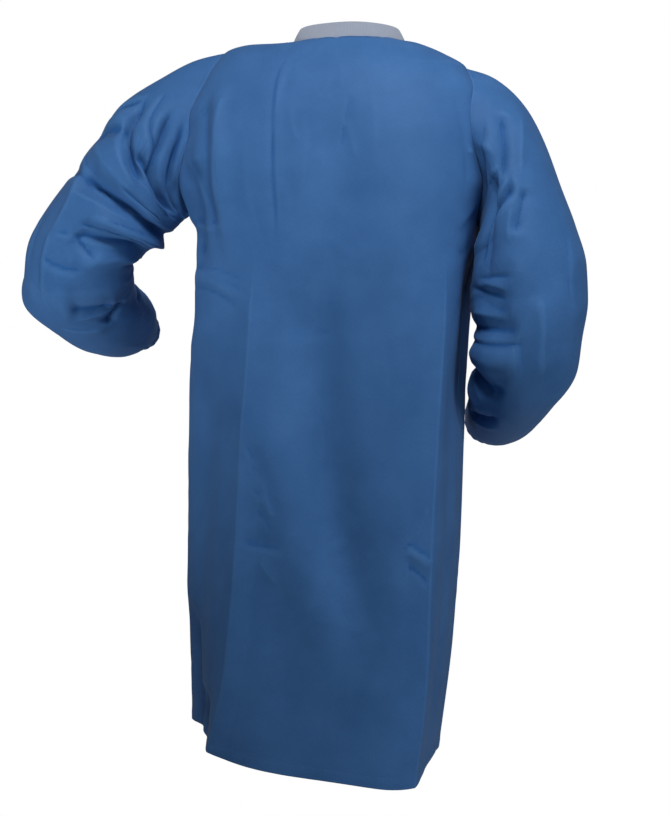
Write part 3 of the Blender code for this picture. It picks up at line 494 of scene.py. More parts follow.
def seam_dip(distance, along, seed):
    """The dip beside a seam, with puckers that fade away from it."""
    pucker = 0.5 + 0.5 * soft_noise(along / PUCKER_SIZE, 0 * along, seed)
    pucker *= np.exp(-((distance / PUCKER_REACH) ** 2)) * ramp(distance / 0.002)
    return -SEAM_DEPTH * np.exp(-((distance / SEAM_WIDTH) ** 2)) - PUCKER_DEPTH * pucker


def crease_rise(downs, shares):
    """How far the two pressed creases stand out."""
    begun = ramp((downs - CREASE_START) / (CREASE_FULL - CREASE_START))
    total = np.zeros(shares.shape)
    for crease in crease_shares(downs):
        off = np.abs(shares - crease[:, None]) * HALF_GIRTH / CREASE_SLOPE
        total += CREASE_RISE * begun[:, None] * np.maximum(1 - off, 0) ** 1.5
    return total


def body_cloth(downs, shares, fine=True):
    """Body points with every fold, and the outward directions that the folds rise along."""
    bare = body_places(downs, shares)
    up = body_places(downs - 0.002, shares) - body_places(downs + 0.002, shares)
    along = body_places(downs, shares + 0.003) - body_places(downs, shares - 0.003)
    outward = unit(np.cross(up, along))
    across, heights = shares * HALF_GIRTH, bare[..., 2]
    rise = main_folds(across, heights) + crease_rise(downs, shares)
    if fine:
        rise = rise + fine_rise(downs, shares, across, heights)
    return bare + outward * rise[..., None], outward


FINE_SHARE, FINE_SPREAD = 0.75, 1.3  # the fine folds' heights and widths are scaled by these
CRUMPLES = ((0.00090, 0.048, 11), (0.00045, 0.019, 12))  # height, facet size and seed
EDGE_CALM = 0.012  # fine relief fades over this distance from an edge


def fine_rise(downs, shares, across, heights):
    """Height of the fine folds, the crumple and the seams."""
    total = np.zeros(shares.shape)
    for *places, width, height, lean, power in FINE_BODY_FOLDS:
        path, width = body_path(*places), FINE_SPREAD * width
        total += FINE_SHARE * fold_profile(across, heights, path, width, height, lean, power)
    worn = 0.55 + 0.45 * soft_noise(across / 0.09, heights / 0.09, 5)  # more in some places
    for height, size, seed in CRUMPLES:
        total += height * worn * facets(across, heights, size, seed)
    # the edge fades to the main form, so that each seam's two sides meet
    size = np.abs(shares)
    left, right, front = (
        armhole_share(downs, cut)[:, None]
        for cut in (ARMHOLE_CUT_BACK, ARMHOLE_CUT_RIGHT, ARMHOLE_CUT_FRONT)
    )
    back_edge = 0.5 * np.where(shares < 0, right, left) - size
    edge = np.where(size < 0.5, back_edge, size - 1 + 0.5 * front) * HALF_GIRTH
    return total * ramp(edge / EDGE_CALM) + seam_dip(np.maximum(edge, 0), heights, 21)


print("body surface ready")

# %% [markdown]
# ## A sheet of cloth as a mesh
#
# A plain plane with a Solidify modifier would do, but its wall turns inside out in tight folds.
# Building both faces from the same grid, one thickness apart, is steadier. The cloth is a real
# 0.3 mm thick, and 0.7 mm here, so that its edges still catch a little light. Each mesh carries
# a UV map in metres, for the cloth's pattern, and a mark of each crest and trough, for a painted
# highlight on crests and painted shade in troughs.

# %% Make one sheet
SHEET_WALL = 0.0007
SHARP_BEND = 0.0008  # rise of a crest over the places beside it that counts as sharp


def grid_outward(grid, around):
    """Outward directions of a grid, its rows upwards and its columns along rising shares."""
    if around:
        grid = np.concatenate([grid[:, -1:], grid, grid[:, :1]], axis=1)
    outward = unit(np.cross(np.gradient(grid, axis=0), np.gradient(grid, axis=1)))
    return outward[:, 1:-1] if around else outward


def crest_marks(grid, outward, around):
    """0.5 on smooth cloth, towards 1 on a sharp crest and towards 0 in a sharp trough."""
    wide = np.concatenate([grid[:, -1:], grid, grid[:, :1]], axis=1) if around else grid
    wide = np.pad(wide, ((1, 1), (0 if around else 1, 0 if around else 1), (0, 0)), mode="edge")
    middle = wide[1:-1, 1:-1]
    beside = (wide[:-2, 1:-1] + wide[2:, 1:-1] + wide[1:-1, :-2] + wide[1:-1, 2:]) / 4
    bend = ((middle - beside) * outward).sum(axis=-1)
    bend[0], bend[-1] = 0, 0
    return np.clip(0.5 + bend / SHARP_BEND, 0, 1)


def sheet_faces(rows, columns, around):
    """Faces of a closed sheet: an outer grid, then an inner one, then the rims between them."""
    size, last, top = rows * columns, columns if around else columns - 1, rows - 1
    i, j = np.meshgrid(np.arange(top), np.arange(last), indexing="ij")
    k = (j + 1) % columns
    here, above = i * columns, (i + 1) * columns
    outer = np.stack([here + j, above + j, above + k, here + k], -1)
    inner = outer[..., ::-1] + size
    faces = [outer.reshape(-1, 4), inner.reshape(-1, 4)]
    j, k = np.arange(last), (np.arange(last) + 1) % columns
    faces.append(np.stack([j, k, k + size, j + size], -1))
    j, k = j + top * columns, k + top * columns
    faces.append(np.stack([j, j + size, k + size, k], -1))
    if not around:
        i = np.arange(top) * columns
        faces.append(np.stack([i, i + size, i + columns + size, i + columns], -1))
        i = i + columns - 1
        faces.append(np.stack([i, i + columns, i + columns + size, i + size], -1))
    return np.concatenate(faces)


def make_sheet(name, outer, cloth_uv, finish, around=False, wall=SHEET_WALL):
    """A thin closed sheet on a grid of points, with its UV map and crest marks."""
    rows, columns = outer.shape[:2]
    outward = grid_outward(outer, around)
    inner = outer - outward * wall
    points = np.concatenate([outer.reshape(-1, 3), inner.reshape(-1, 3)])
    faces = sheet_faces(rows, columns, around)
    mesh = bpy.data.meshes.new(name)
    mesh.from_pydata(points.tolist(), [], faces.tolist())
    mesh.update()
    uv = mesh.uv_layers.new(name="cloth")
    corners = faces.reshape(-1)
    flat = np.concatenate([cloth_uv.reshape(-1, 2)] * 2)[corners].reshape(-1, 4, 2)
    if around:  # the last column joins the first one again
        turn = cloth_uv[0, -1, 0] - cloth_uv[0, 0, 0]
        step = turn / (columns - 1)
        wrapped = flat[..., 0].max(axis=1) - flat[..., 0].min(axis=1) > abs(turn) / 2
        low = flat[..., 0] < cloth_uv[0, :, 0].mean()
        flat[..., 0] += np.where(wrapped[:, None] & low, abs(turn) + abs(step), 0)
    uv.data.foreach_set("uv", flat.reshape(-1))
    marks = mesh.attributes.new("crest", "FLOAT", "POINT")
    crest = crest_marks(outer, outward, around).reshape(-1)
    marks.data.foreach_set("value", np.concatenate([crest, 1 - crest]))
    mesh.shade_smooth()
    made = bpy.data.objects.new(name, mesh)
    bpy.context.scene.collection.objects.link(made)
    mesh.materials.append(finish)
    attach(made, "root")
    print(name, 2 * len(faces), "triangles,", round(area_of(outer), 3), "m2")
    return made


def area_of(grid):
    """Surface of a grid of points, in square metres."""
    a, b = grid[1:, 1:] - grid[:-1, :-1], grid[1:, :-1] - grid[:-1, 1:]
    return 0.5 * float(np.linalg.norm(np.cross(a, b), axis=-1).sum())


print("a sheet on 3 x 3 points has", len(sheet_faces(3, 3, False)), "faces")

# %% [markdown]
# ## The cloth's finish
#
# The coat is blown and bonded plastic fibre. Close up it has fine fibres lying every way and a
# grid of tiny pressed dots, and from afar an uneven cloudy blue and a dull sheen. A picture of
# cloth would blur and repeat, so the finish is worked out by the shader. The shader's maths is
# written as plain sums here: each value is a wire, and adding two wires adds a node.

# %% Wires and nodes for the finishes
def node(tree, kind, settings, inputs, output=0):
    """One shader node: its settings first, then the values or wires of its sockets."""
    made = tree.nodes.new(kind)
    for name, value in settings.items():
        if name == "stops":
            for stop, (place, colour) in zip(made.color_ramp.elements, value):
                stop.position, stop.color = place, colour
        else:
            setattr(made, name, value)
    for key, value in inputs.items():
        if isinstance(value, Wire):
            tree.links.new(value.socket, made.inputs[key])
        else:
            made.inputs[key].default_value = value
    return Wire(made.outputs[output])


class Wire:
    """A shader socket that can be added, multiplied and so on."""

    def __init__(self, socket):
        self.socket = socket
        self.tree = socket.id_data

    def maths(self, operation, first, second=0.0):
        return node(self.tree, "ShaderNodeMath", {"operation": operation}, {0: first, 1: second})

    def __add__(self, other):
        return self.maths("ADD", self, other)

    def __radd__(self, other):
        return self.maths("ADD", other, self)

    def __sub__(self, other):
        return self.maths("SUBTRACT", self, other)

    def __rsub__(self, other):
        return self.maths("SUBTRACT", other, self)

    def __mul__(self, other):
        return self.maths("MULTIPLY", self, other)

    def __rmul__(self, other):
        return self.maths("MULTIPLY", other, self)

    def wave(self):
        return self.maths("SINE", self)

    def size(self):
        return self.maths("ABSOLUTE", self)

    def held(self, low, high):
        return self.maths("MINIMUM", self.maths("MAXIMUM", self, low), high)


def finish_for(name, roughness, sheen, sheen_roughness=0.5, specular=0.5):
    """A new material, with what is the same all over set on the shader itself."""
    made = bpy.data.materials.new(name)
    made.use_nodes = True
    shader = made.node_tree.nodes["Principled BSDF"]
    shader.inputs["Roughness"].default_value = roughness
    shader.inputs["Sheen Weight"].default_value = sheen
    shader.inputs["Sheen Roughness"].default_value = sheen_roughness
    shader.inputs["Specular IOR Level"].default_value = specular
    return made, made.node_tree, shader


def shade_between(tree, dark, light, mask):
    """A colour between two, by a wire from 0 to 1."""
    return node(tree, "ShaderNodeMix", {"data_type": "RGBA"},
                {0: mask, 6: (*dark, 1), 7: (*light, 1)}, output=2)


def noise(tree, places, scale, detail=3.0, rough=0.55, stretch=None):
    """Cloudy noise, which can be stretched along the directions of its places."""
    if stretch:
        places = node(tree, "ShaderNodeMapping", {}, {"Vector": places, "Scale": stretch})
    return node(tree, "ShaderNodeTexNoise", {},
                {"Vector": places, "Scale": scale, "Detail": detail, "Roughness": rough})


def bumped(tree, shader, height, distance, strength=1.0):
    """Small relief by a Bump node, where real ridges would be too fine."""
    bump = node(tree, "ShaderNodeBump", {},
                {"Height": height, "Distance": distance, "Strength": strength})
    tree.links.new(bump.socket, shader.inputs["Normal"])


print("wires ready")

# %% [markdown]
# The bonded dots are about 2 mm apart in a slanted grid. They lie on the UV map, so they
# follow the cloth round a sleeve. The clouds and fibres read the object's own coordinates or
# the same map. Sharp crests get a painted highlight, a paler blue, and sharp troughs painted
# shade, a deeper blue.

# %% The blue nonwoven cloth
CLOTH_DARK, CLOTH_LIGHT = (0.030, 0.099, 0.257), (0.049, 0.144, 0.352)
# painted highlight for sharp crests, then painted shade for sharp troughs
CLOTH_CREST_HIGHLIGHT, CLOTH_TROUGH_SHADE = (0.060, 0.170, 0.388), (0.010, 0.075, 0.260)
DOT_PITCH, DOT_SLANT = 0.0028, 0.52  # the grid's period in metres, and how far it is turned


def nonwoven(name):
    """Bonded fibre cloth: clouds, fibres, strands, pressed dots; painted highlight on crests, painted
    shade in troughs.
    """
    made, tree, shader = finish_for(name, 0.60, 0.03, 0.4, 0.10)
    flat = node(tree, "ShaderNodeUVMap", {"uv_map": "cloth"}, {})
    solid = node(tree, "ShaderNodeTexCoord", {}, {}, output=3)
    crest = node(tree, "ShaderNodeAttribute", {"attribute_name": "crest"}, {}, output=2)
    clouds = noise(tree, solid, 14.0, 4.0, 0.6)
    fibres = noise(tree, flat, 900.0, 2.0, 0.6, stretch=(1.0, 0.22, 1.0))
    strands = noise(tree, flat, 520.0, 3.0, 0.7, stretch=(0.35, 1.0, 1.0))
    turned = node(tree, "ShaderNodeMapping", {}, {"Vector": flat, "Rotation": (0, 0, DOT_SLANT)})
    across = node(tree, "ShaderNodeSeparateXYZ", {}, {0: turned})
    down = node(tree, "ShaderNodeSeparateXYZ", {}, {0: turned}, output=1)
    rate = 2 * math.pi / DOT_PITCH
    dots = ((across * rate).wave() * (down * rate).wave() - 0.25).held(0.0, 1.0)
    mottle = (0.55 * clouds + 0.25 * fibres + 0.20 * strands - 0.26) * 2.3 - 0.5 * dots
    blue = shade_between(tree, CLOTH_DARK, CLOTH_LIGHT, mottle.held(0.0, 1.0))
    # painted highlight: the sharper a crest, the more of a paler blue it is painted with
    pressed = ((crest - 0.60) * 1.6).held(0.0, 0.35)
    paler = node(tree, "ShaderNodeMix", {"data_type": "RGBA"},
                 {0: pressed, 6: blue, 7: (*CLOTH_CREST_HIGHLIGHT, 1)}, output=2)
    # painted shade: the sharper a trough, the more of a darker, deeper blue it is painted with
    deep = ((0.44 - crest) * 1.8).held(0.0, 0.6)
    colour = node(tree, "ShaderNodeMix", {"data_type": "RGBA"},
                  {0: deep, 6: paler, 7: (*CLOTH_TROUGH_SHADE, 1)}, output=2)
    tree.links.new(colour.socket, shader.inputs["Base Color"])
    rough = 0.50 + 0.16 * clouds
    tree.links.new(rough.socket, shader.inputs["Roughness"])
    height = 0.50 * fibres + 0.35 * strands - 0.9 * dots
    bumped(tree, shader, height, 0.00014, 0.9)
    return made


blue_cloth = nonwoven("blue_nonwoven_cloth")
print("cloth finish:", len(blue_cloth.node_tree.nodes), "nodes")

# %% [markdown]
# ## The back
#
# One panel, cut with its side seams and with the shoulders at its top corners. Its columns run
# closer together at the two pressed creases, which stand on from the folds of the bag. At its
# edges the cloth turns in, as a seam allowance does, so no gap shows between two pieces. At the
# hem it is folded up inside and stitched, and the fold's double thickness shows from outside.

# %% Lay the back panel
# How deep each armhole is cut into its panel, and below 1, how far that is bent to the shoulder:
# the back's left one, the back's right one, and both of the fronts
ARMHOLE_CUT_BACK, ARMHOLE_CUT_RIGHT, ARMHOLE_CUT_FRONT = (0.17, 0.80), (0.25, 0.85), (0.33, 1.0)
ARM_ROWS = 80  # steps of an armhole, the same on its panels and its sleeve, so that they meet
HEM_FOLD, HEM_STITCH = 0.016, 0.0145  # height of the hem's fold and of its stitches
GROOVE_DEPTH, GROOVE_WIDTH = 0.0006, 0.0012


def arm_steps():
    """0 to 1 in the steps of the armhole's points, closer at its two ends."""
    t = np.linspace(0, 1, ARM_ROWS + 1)
    return 0.5 * t + 0.5 * (0.5 - 0.5 * np.cos(math.pi * t))


def panel_levels():
    """Distances down of a panel's rows, from hem to neckline, closer at the hem's fold."""
    hem = HEM_DOWN - np.array([0.0, 0.0012, 0.004, 0.009, 0.0135, 0.0150, 0.0160, 0.0172, 0.019])
    skirt = np.linspace(HEM_DOWN - 0.023, UNDERARM_DOWN, 138)
    armhole = UNDERARM_DOWN + (SHOULDER_DOWN - UNDERARM_DOWN) * arm_steps()
    shoulder = np.linspace(SHOULDER_DOWN, 0.0, 15)
    return np.concatenate([hem, skirt, armhole[1:], shoulder[1:]])


def hem_and_neck(downs):
    """The hem's double thickness with its stitch groove, and the dip at the neck seam."""
    up = HEM_DOWN - downs
    fold = 0.0005 * ramp((HEM_FOLD + 0.001 - up) / 0.002)
    groove = -GROOVE_DEPTH * np.exp(-(((up - HEM_STITCH) / GROOVE_WIDTH) ** 2))
    neck = -0.0005 * np.exp(-((downs / 0.003) ** 2))
    return (fold + groove + neck)[:, None]


def turned_in(grid, outward, depth=0.006):
    """Adds a first and a last column that turn in behind the edge, as a seam allowance does."""
    first = [grid[:, 0] - outward[:, 0] * depth, grid[:, 0] - outward[:, 0] * depth * 0.3]
    last = [grid[:, -1] - outward[:, -1] * depth * 0.3, grid[:, -1] - outward[:, -1] * depth]
    return np.concatenate([np.stack(first, axis=1), grid, np.stack(last, axis=1)], axis=1)


def panel_grid(shares, raised, turn_first=True, turn_last=True):
    """The grid of a panel with all its folds, and its UV map in metres."""
    downs = panel_levels()
    grid, outward = body_cloth(downs, shares)
    grid = grid + outward * (raised + hem_and_neck(downs))[..., None]
    seams = turned_in(grid, outward)
    seams = seams[:, 0 if turn_first else 2:seams.shape[1] - (0 if turn_last else 2)]
    flat = np.stack(np.broadcast_arrays(shares * HALF_GIRTH, -downs[:, None]), axis=-1)
    pad = (2 if turn_first else 0, 2 if turn_last else 0)
    return seams, np.pad(flat, ((0, 0), pad, (0, 0)), mode="edge")


downs = panel_levels()
left_edge = 0.5 * armhole_share(downs, ARMHOLE_CUT_BACK)
right_edge = -0.5 * armhole_share(downs, ARMHOLE_CUT_RIGHT)
left_crease, right_crease = crease_shares(downs)
stations = np.stack([right_edge, right_crease, 0 * left_edge, left_crease, left_edge], axis=1)
columns = np.arange(181)
station_columns = [0, 44, 96, 132, 180]  # the edges, the creases and the centre
shares = np.array([np.interp(columns, station_columns, row) for row in stations])
grid, flat = panel_grid(shares, 0 * shares)
back = make_sheet("back_cloth", grid, flat, blue_cloth)
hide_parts("back")
BACK_AREA = area_of(grid)

# %% [markdown]
# ## The two fronts
#
# Each front runs from its side seam to just past the centre, and the left one laps over the
# right. The lap is a folded facing, so its edge is thicker and a stitch line runs beside it. The
# photo shows none of this, so the fronts are cut as such coats usually are.

# %% Lay the left front and the right front
# How far a front runs past the centre, how far the left one stands out there, and over which
# distance it rises
LAP, LAP_RAISE, LAP_RAMP = 0.018, 0.0021, 0.024
FACING, FACING_STITCH = 0.037, 0.0345  # width of the lap's facing, and place of its stitches


def front_shares(columns=74, lap_columns=15):
    """Shares of a front, from its side seam to past the centre front."""
    rise, lap = (LAP + LAP_RAMP) / HALF_GIRTH, LAP / HALF_GIRTH
    edge = (1 - 0.5 * armhole_share(downs, ARMHOLE_CUT_FRONT))[:, None]
    t = np.linspace(0, 1, columns)[None, :]
    main = edge * (1 - t) + (1 - rise) * t
    middle = (1 - rise) + (rise - lap) * np.linspace(0, 1, 9)[None, 1:]
    centre = 1 - lap + 2 * lap * np.linspace(0, 1, lap_columns)[None, 1:]
    tail = np.repeat(np.concatenate([middle, centre], axis=1), len(downs), axis=0)
    return np.concatenate([main, tail], axis=1)


def lap_relief(shares, over):
    """How far a front's lap stands out, with its facing's fold and stitch groove."""
    lap, rise = LAP / HALF_GIRTH, (LAP + LAP_RAMP) / HALF_GIRTH
    raised = over * LAP_RAISE * ramp((shares - (1 - rise)) / (rise - lap))
    from_edge = (1 + lap - shares) * HALF_GIRTH
    facing = 0.0004 * ramp((FACING - from_edge) / 0.002)
    groove = -GROOVE_DEPTH * np.exp(-(((from_edge - FACING_STITCH) / GROOVE_WIDTH) ** 2))
    return raised + facing + groove


shares = front_shares()
grid, flat = panel_grid(shares, lap_relief(shares, 1.0), turn_last=False)
front_left = make_sheet("front_left_cloth", grid, flat, blue_cloth)
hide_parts("front_left")
FRONT_AREA = area_of(grid)
shares = -shares[:, ::-1]
grid, flat = panel_grid(shares, lap_relief(-shares, 0.0), turn_first=False)
front_right = make_sheet("front_right_cloth", grid, flat, blue_cloth)
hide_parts("front_right")

# %% [markdown]
# ## The sleeves
#
# A sleeve is one sheet with one seam under the arm. The arms are held forward and bent, so the
# cloth bunches into deep folds at the inner elbow and the underarm and stays smooth on the outer
# side. Folds are placed by an angle round the sleeve and a distance down it, like the body's.

# %% Sections and main folds of the sleeves
# Sections of the sleeves, from armhole to cuff: x, y and z of the point on the body side, the
# same of the point on the outer side, and half the sleeve's depth across them.
LEFT_SLEEVE = [
    (0.237, -0.002, -0.235, 0.172, 0.000, 0.001, 0.080),
    (0.242, -0.001, -0.239, 0.222, 0.000, -0.008, 0.082),
    (0.250, 0.002, -0.243, 0.275, 0.000, -0.031, 0.083),
    (0.256, 0.005, -0.248, 0.330, 0.001, -0.064, 0.083),
    (0.264, 0.008, -0.256, 0.370, 0.002, -0.115, 0.082),
    (0.280, 0.010, -0.269, 0.409, 0.004, -0.171, 0.081),
    (0.300, 0.008, -0.284, 0.449, 0.007, -0.221, 0.080),
    (0.318, 0.000, -0.298, 0.479, 0.010, -0.268, 0.079),
    (0.331, -0.015, -0.308, 0.491, 0.008, -0.313, 0.076),
    (0.339, -0.040, -0.317, 0.505, -0.012, -0.346, 0.072),
    (0.348, -0.068, -0.326, 0.481, -0.045, -0.381, 0.069),
    (0.351, -0.098, -0.333, 0.454, -0.085, -0.410, 0.064),
    (0.352, -0.135, -0.338, 0.433, -0.128, -0.420, 0.056),
    (0.359, -0.170, -0.349, 0.423, -0.167, -0.417, 0.045),
    (0.367, -0.198, -0.363, 0.416, -0.197, -0.408, 0.036),
]
RIGHT_SLEEVE = [
    (-0.186, -0.002, -0.262, -0.170, 0.000, -0.040, 0.080),
    (-0.189, -0.001, -0.268, -0.203, 0.000, -0.053, 0.082),
    (-0.188, 0.001, -0.276, -0.232, 0.001, -0.075, 0.084),
    (-0.1865, 0.003, -0.285, -0.257, 0.002, -0.106, 0.085),
    (-0.1845, 0.004, -0.298, -0.279, 0.004, -0.150, 0.085),
    (-0.1825, 0.006, -0.316, -0.301, 0.006, -0.211, 0.084),
    (-0.1795, 0.008, -0.340, -0.321, 0.009, -0.265, 0.083),
    (-0.1765, 0.009, -0.368, -0.336, 0.012, -0.320, 0.083),
    (-0.1780, 0.008, -0.396, -0.338, 0.014, -0.369, 0.082),
    (-0.1820, 0.000, -0.424, -0.330, 0.010, -0.420, 0.080),
    (-0.1810, -0.018, -0.447, -0.321, -0.004, -0.469, 0.077),
    (-0.178, -0.048, -0.462, -0.293, -0.030, -0.506, 0.071),
    (-0.177, -0.085, -0.472, -0.264, -0.068, -0.537, 0.063),
    (-0.173, -0.125, -0.482, -0.238, -0.112, -0.557, 0.055),
    (-0.169, -0.165, -0.492, -0.213, -0.155, -0.565, 0.046),
    (-0.161, -0.195, -0.504, -0.196, -0.189, -0.562, 0.036),
]

# Folds of the sleeves. Each place is an angle round the sleeve (0 on the outer side, 90 at the
# back, 180 on the body side, 270 in front) and a distance down it from the armhole. After three
# places a row gives the fold's width, height and lean.
LEFT_SLEEVE_FOLDS = [
    # folds that start at the shoulder and meet at the underarm
    (50, 0.022, 88, 0.058, 128, 0.086, 0.009, -0.0075, 0.0030),
    (64, 0.004, 108, 0.026, 176, 0.052, 0.007, -0.0075, 0.0030),
    (66, 0.090, 44, 0.116, 12, 0.146, 0.010, -0.0085, 0.0050),
    (28, 0.067, 72, 0.104, 129, 0.106, 0.013, -0.0130, 0.0050),
    (84, 0.096, 112, 0.076, 165, 0.068, 0.012, -0.0105, 0.0),
    (50, 0.173, 108, 0.170, 206, 0.162, 0.014, -0.0170, 0.0),
    (40, 0.135, 80, 0.140, 128, 0.134, 0.016, 0.0060, 0.0),
    # the roll at the inner elbow, with the hollows under it
    (92, 0.210, 140, 0.199, 208, 0.190, 0.015, 0.0115, 0.0),
    (86, 0.240, 130, 0.230, 182, 0.224, 0.014, -0.0140, 0.0),
    (90, 0.237, 104, 0.248, 122, 0.262, 0.012, -0.0050, 0.0),
    (100, 0.270, 140, 0.260, 190, 0.256, 0.013, 0.0060, 0.0),
    # the ridge down the outer side to the elbow
    (45, 0.165, 68, 0.227, 64, 0.300, 0.013, 0.0050, -0.0020),
    # forearm
    (80, 0.305, 108, 0.312, 135, 0.322, 0.013, -0.0065, 0.0),
    (105, 0.360, 125, 0.350, 145, 0.338, 0.013, -0.0055, 0.0),
    # front of the elbow and of the shoulder
    (290, 0.220, 236, 0.200, 179, 0.190, 0.015, 0.0115, 0.0),
    (284, 0.245, 238, 0.232, 196, 0.226, 0.014, -0.0135, 0.0),
    (270, 0.275, 230, 0.264, 192, 0.257, 0.013, 0.0050, 0.0),
    (330, 0.075, 285, 0.105, 232, 0.108, 0.014, -0.0090, 0.0),
    (310, 0.168, 262, 0.170, 178, 0.162, 0.014, -0.0165, 0.0),
    (320, 0.130, 280, 0.138, 235, 0.134, 0.016, 0.0050, 0.0),
]
RIGHT_SLEEVE_FOLDS = [
    # folds that start at the shoulder
    (45, 0.040, 68, 0.060, 90, 0.082, 0.012, -0.0070, 0.0),
    (72, 0.112, 95, 0.109, 120, 0.101, 0.012, -0.0070, 0.0020),
    (60, 0.120, 74, 0.142, 88, 0.164, 0.012, -0.0050, 0.0),
    # the deep hollow beside the body
    (106, 0.044, 122, 0.100, 134, 0.220, 0.018, -0.0170, 0.0),
    # the short fold that crosses the seam
    (100, 0.000, 92, 0.020, 84, 0.056, 0.008, 0.0040, 0.0),
    # inner elbow
    (152, 0.176, 122, 0.196, 90, 0.212, 0.013, -0.0032, 0.0),
    (164, 0.188, 134, 0.214, 98, 0.240, 0.013, -0.0042, 0.0),
    (158, 0.205, 130, 0.236, 98, 0.262, 0.018, -0.0085, 0.0),
    (204, 0.262, 130, 0.268, 90, 0.276, 0.013, -0.0095, 0.0),
    (206, 0.306, 125, 0.306, 84, 0.300, 0.015, 0.0080, 0.0),
    (204, 0.336, 135, 0.338, 92, 0.334, 0.012, -0.0110, 0.0),
    (202, 0.372, 145, 0.374, 105, 0.376, 0.014, 0.0050, 0.0),
    (130, 0.420, 106, 0.394, 84, 0.370, 0.013, -0.0065, 0.0),
    # the ridge down the outer side to the elbow
    (70, 0.240, 66, 0.280, 60, 0.330, 0.015, 0.0034, -0.0010),
    # front of the elbow and of the shoulder
    (282, 0.276, 235, 0.268, 178, 0.262, 0.013, -0.0085, 0.0),
    (286, 0.300, 238, 0.306, 178, 0.306, 0.015, 0.0075, 0.0),
    (280, 0.335, 238, 0.338, 178, 0.336, 0.012, -0.0100, 0.0),
    (315, 0.050, 285, 0.085, 262, 0.140, 0.014, -0.0070, 0.0),
    (300, 0.175, 262, 0.185, 225, 0.180, 0.014, -0.0060, 0.0),
]
print(len(LEFT_SLEEVE), "and", len(RIGHT_SLEEVE), "sections")

# %% [markdown]
# Fine folds for the sleeves follow, crisper than the main ones, as on the body. The photo shows
# many of the left arm's: sharp lines that fan out from the underarm, the roll over the inner
# elbow, short creases on the forearm. Between them the cloth is fairly smooth.

# %% Fine folds of the sleeves
FINE_LEFT_FOLDS = [
    (34, 0.070, 20, 0.110, 4, 0.152, 0.0045, -0.0036, 0.0020, 1.2),
    (52, 0.022, 90, 0.058, 128, 0.088, 0.0060, -0.0020, 0.0014, 1.3),
    (30, 0.040, 62, 0.062, 100, 0.056, 0.0055, -0.0024, 0.0014, 1.3),
    (26, 0.064, 70, 0.100, 118, 0.112, 0.0050, -0.0040, 0.0030, 1.2),
    (40, 0.088, 76, 0.116, 120, 0.122, 0.0050, 0.0024, 0.0012, 1.3),
    (88, 0.100, 114, 0.078, 160, 0.068, 0.0050, -0.0030, 0.0024, 1.2),
    (96, 0.120, 128, 0.100, 165, 0.086, 0.0050, 0.0026, 0.0, 1.3),
    (54, 0.176, 104, 0.168, 150, 0.160, 0.0050, -0.0038, 0.0030, 1.2),
    (60, 0.190, 96, 0.186, 140, 0.178, 0.0050, 0.0024, 0.0, 1.3),
    (30, 0.150, 54, 0.164, 84, 0.160, 0.0050, 0.0018, 0.0010, 1.3),
    (100, 0.146, 128, 0.138, 165, 0.126, 0.0045, -0.0026, 0.0010, 1.3),
    (112, 0.200, 140, 0.190, 175, 0.182, 0.0045, -0.0024, 0.0, 1.3),
    (88, 0.226, 130, 0.216, 186, 0.212, 0.0045, -0.0034, 0.0022, 1.2),
    (8, 0.184, 30, 0.178, 64, 0.172, 0.0055, -0.0040, 0.0020, 1.3),
    (70, 0.244, 110, 0.240, 160, 0.236, 0.0050, 0.0024, 0.0014, 1.3),
    (92, 0.236, 104, 0.250, 124, 0.264, 0.0045, -0.0028, 0.0016, 1.2),
    (60, 0.262, 84, 0.274, 112, 0.276, 0.0050, -0.0014, 0.0010, 1.3),
    (46, 0.170, 66, 0.200, 70, 0.240, 0.0050, 0.0026, -0.0016, 1.2),
    (66, 0.240, 66, 0.270, 58, 0.304, 0.0050, 0.0020, -0.0012, 1.3),
    (30, 0.220, 40, 0.250, 36, 0.290, 0.0060, -0.0010, 0.0008, 1.4),
    (84, 0.306, 108, 0.314, 134, 0.324, 0.0050, -0.0030, 0.0018, 1.2),
    (90, 0.322, 112, 0.330, 136, 0.338, 0.0050, 0.0022, 0.0, 1.3),
    (104, 0.362, 124, 0.352, 146, 0.340, 0.0045, -0.0028, 0.0016, 1.2),
    (60, 0.340, 84, 0.356, 104, 0.360, 0.0050, 0.0014, 0.0010, 1.3),
    (150, 0.270, 172, 0.280, 196, 0.282, 0.0050, -0.0022, 0.0012, 1.3),
    (150, 0.300, 174, 0.306, 198, 0.304, 0.0050, 0.0018, 0.0, 1.3),
    (150, 0.390, 176, 0.396, 200, 0.392, 0.0050, -0.0016, 0.0010, 1.3),
    (330, 0.070, 288, 0.100, 240, 0.112, 0.0050, -0.0034, 0.0024, 1.2),
    (316, 0.094, 280, 0.118, 240, 0.124, 0.0050, 0.0022, 0.0, 1.3),
    (306, 0.176, 262, 0.168, 210, 0.160, 0.0050, -0.0034, 0.0022, 1.2),
    (300, 0.192, 262, 0.188, 215, 0.180, 0.0050, 0.0022, 0.0, 1.3),
    (272, 0.228, 230, 0.216, 192, 0.212, 0.0045, -0.0032, 0.0020, 1.2),
    (290, 0.246, 250, 0.242, 205, 0.238, 0.0050, 0.0022, 0.0, 1.3),
    (300, 0.268, 272, 0.284, 245, 0.286, 0.0050, -0.0018, 0.0010, 1.3),
    (280, 0.306, 254, 0.316, 226, 0.326, 0.0050, -0.0026, 0.0016, 1.3),
    (300, 0.340, 270, 0.352, 240, 0.356, 0.0050, 0.0016, 0.0, 1.3),
]
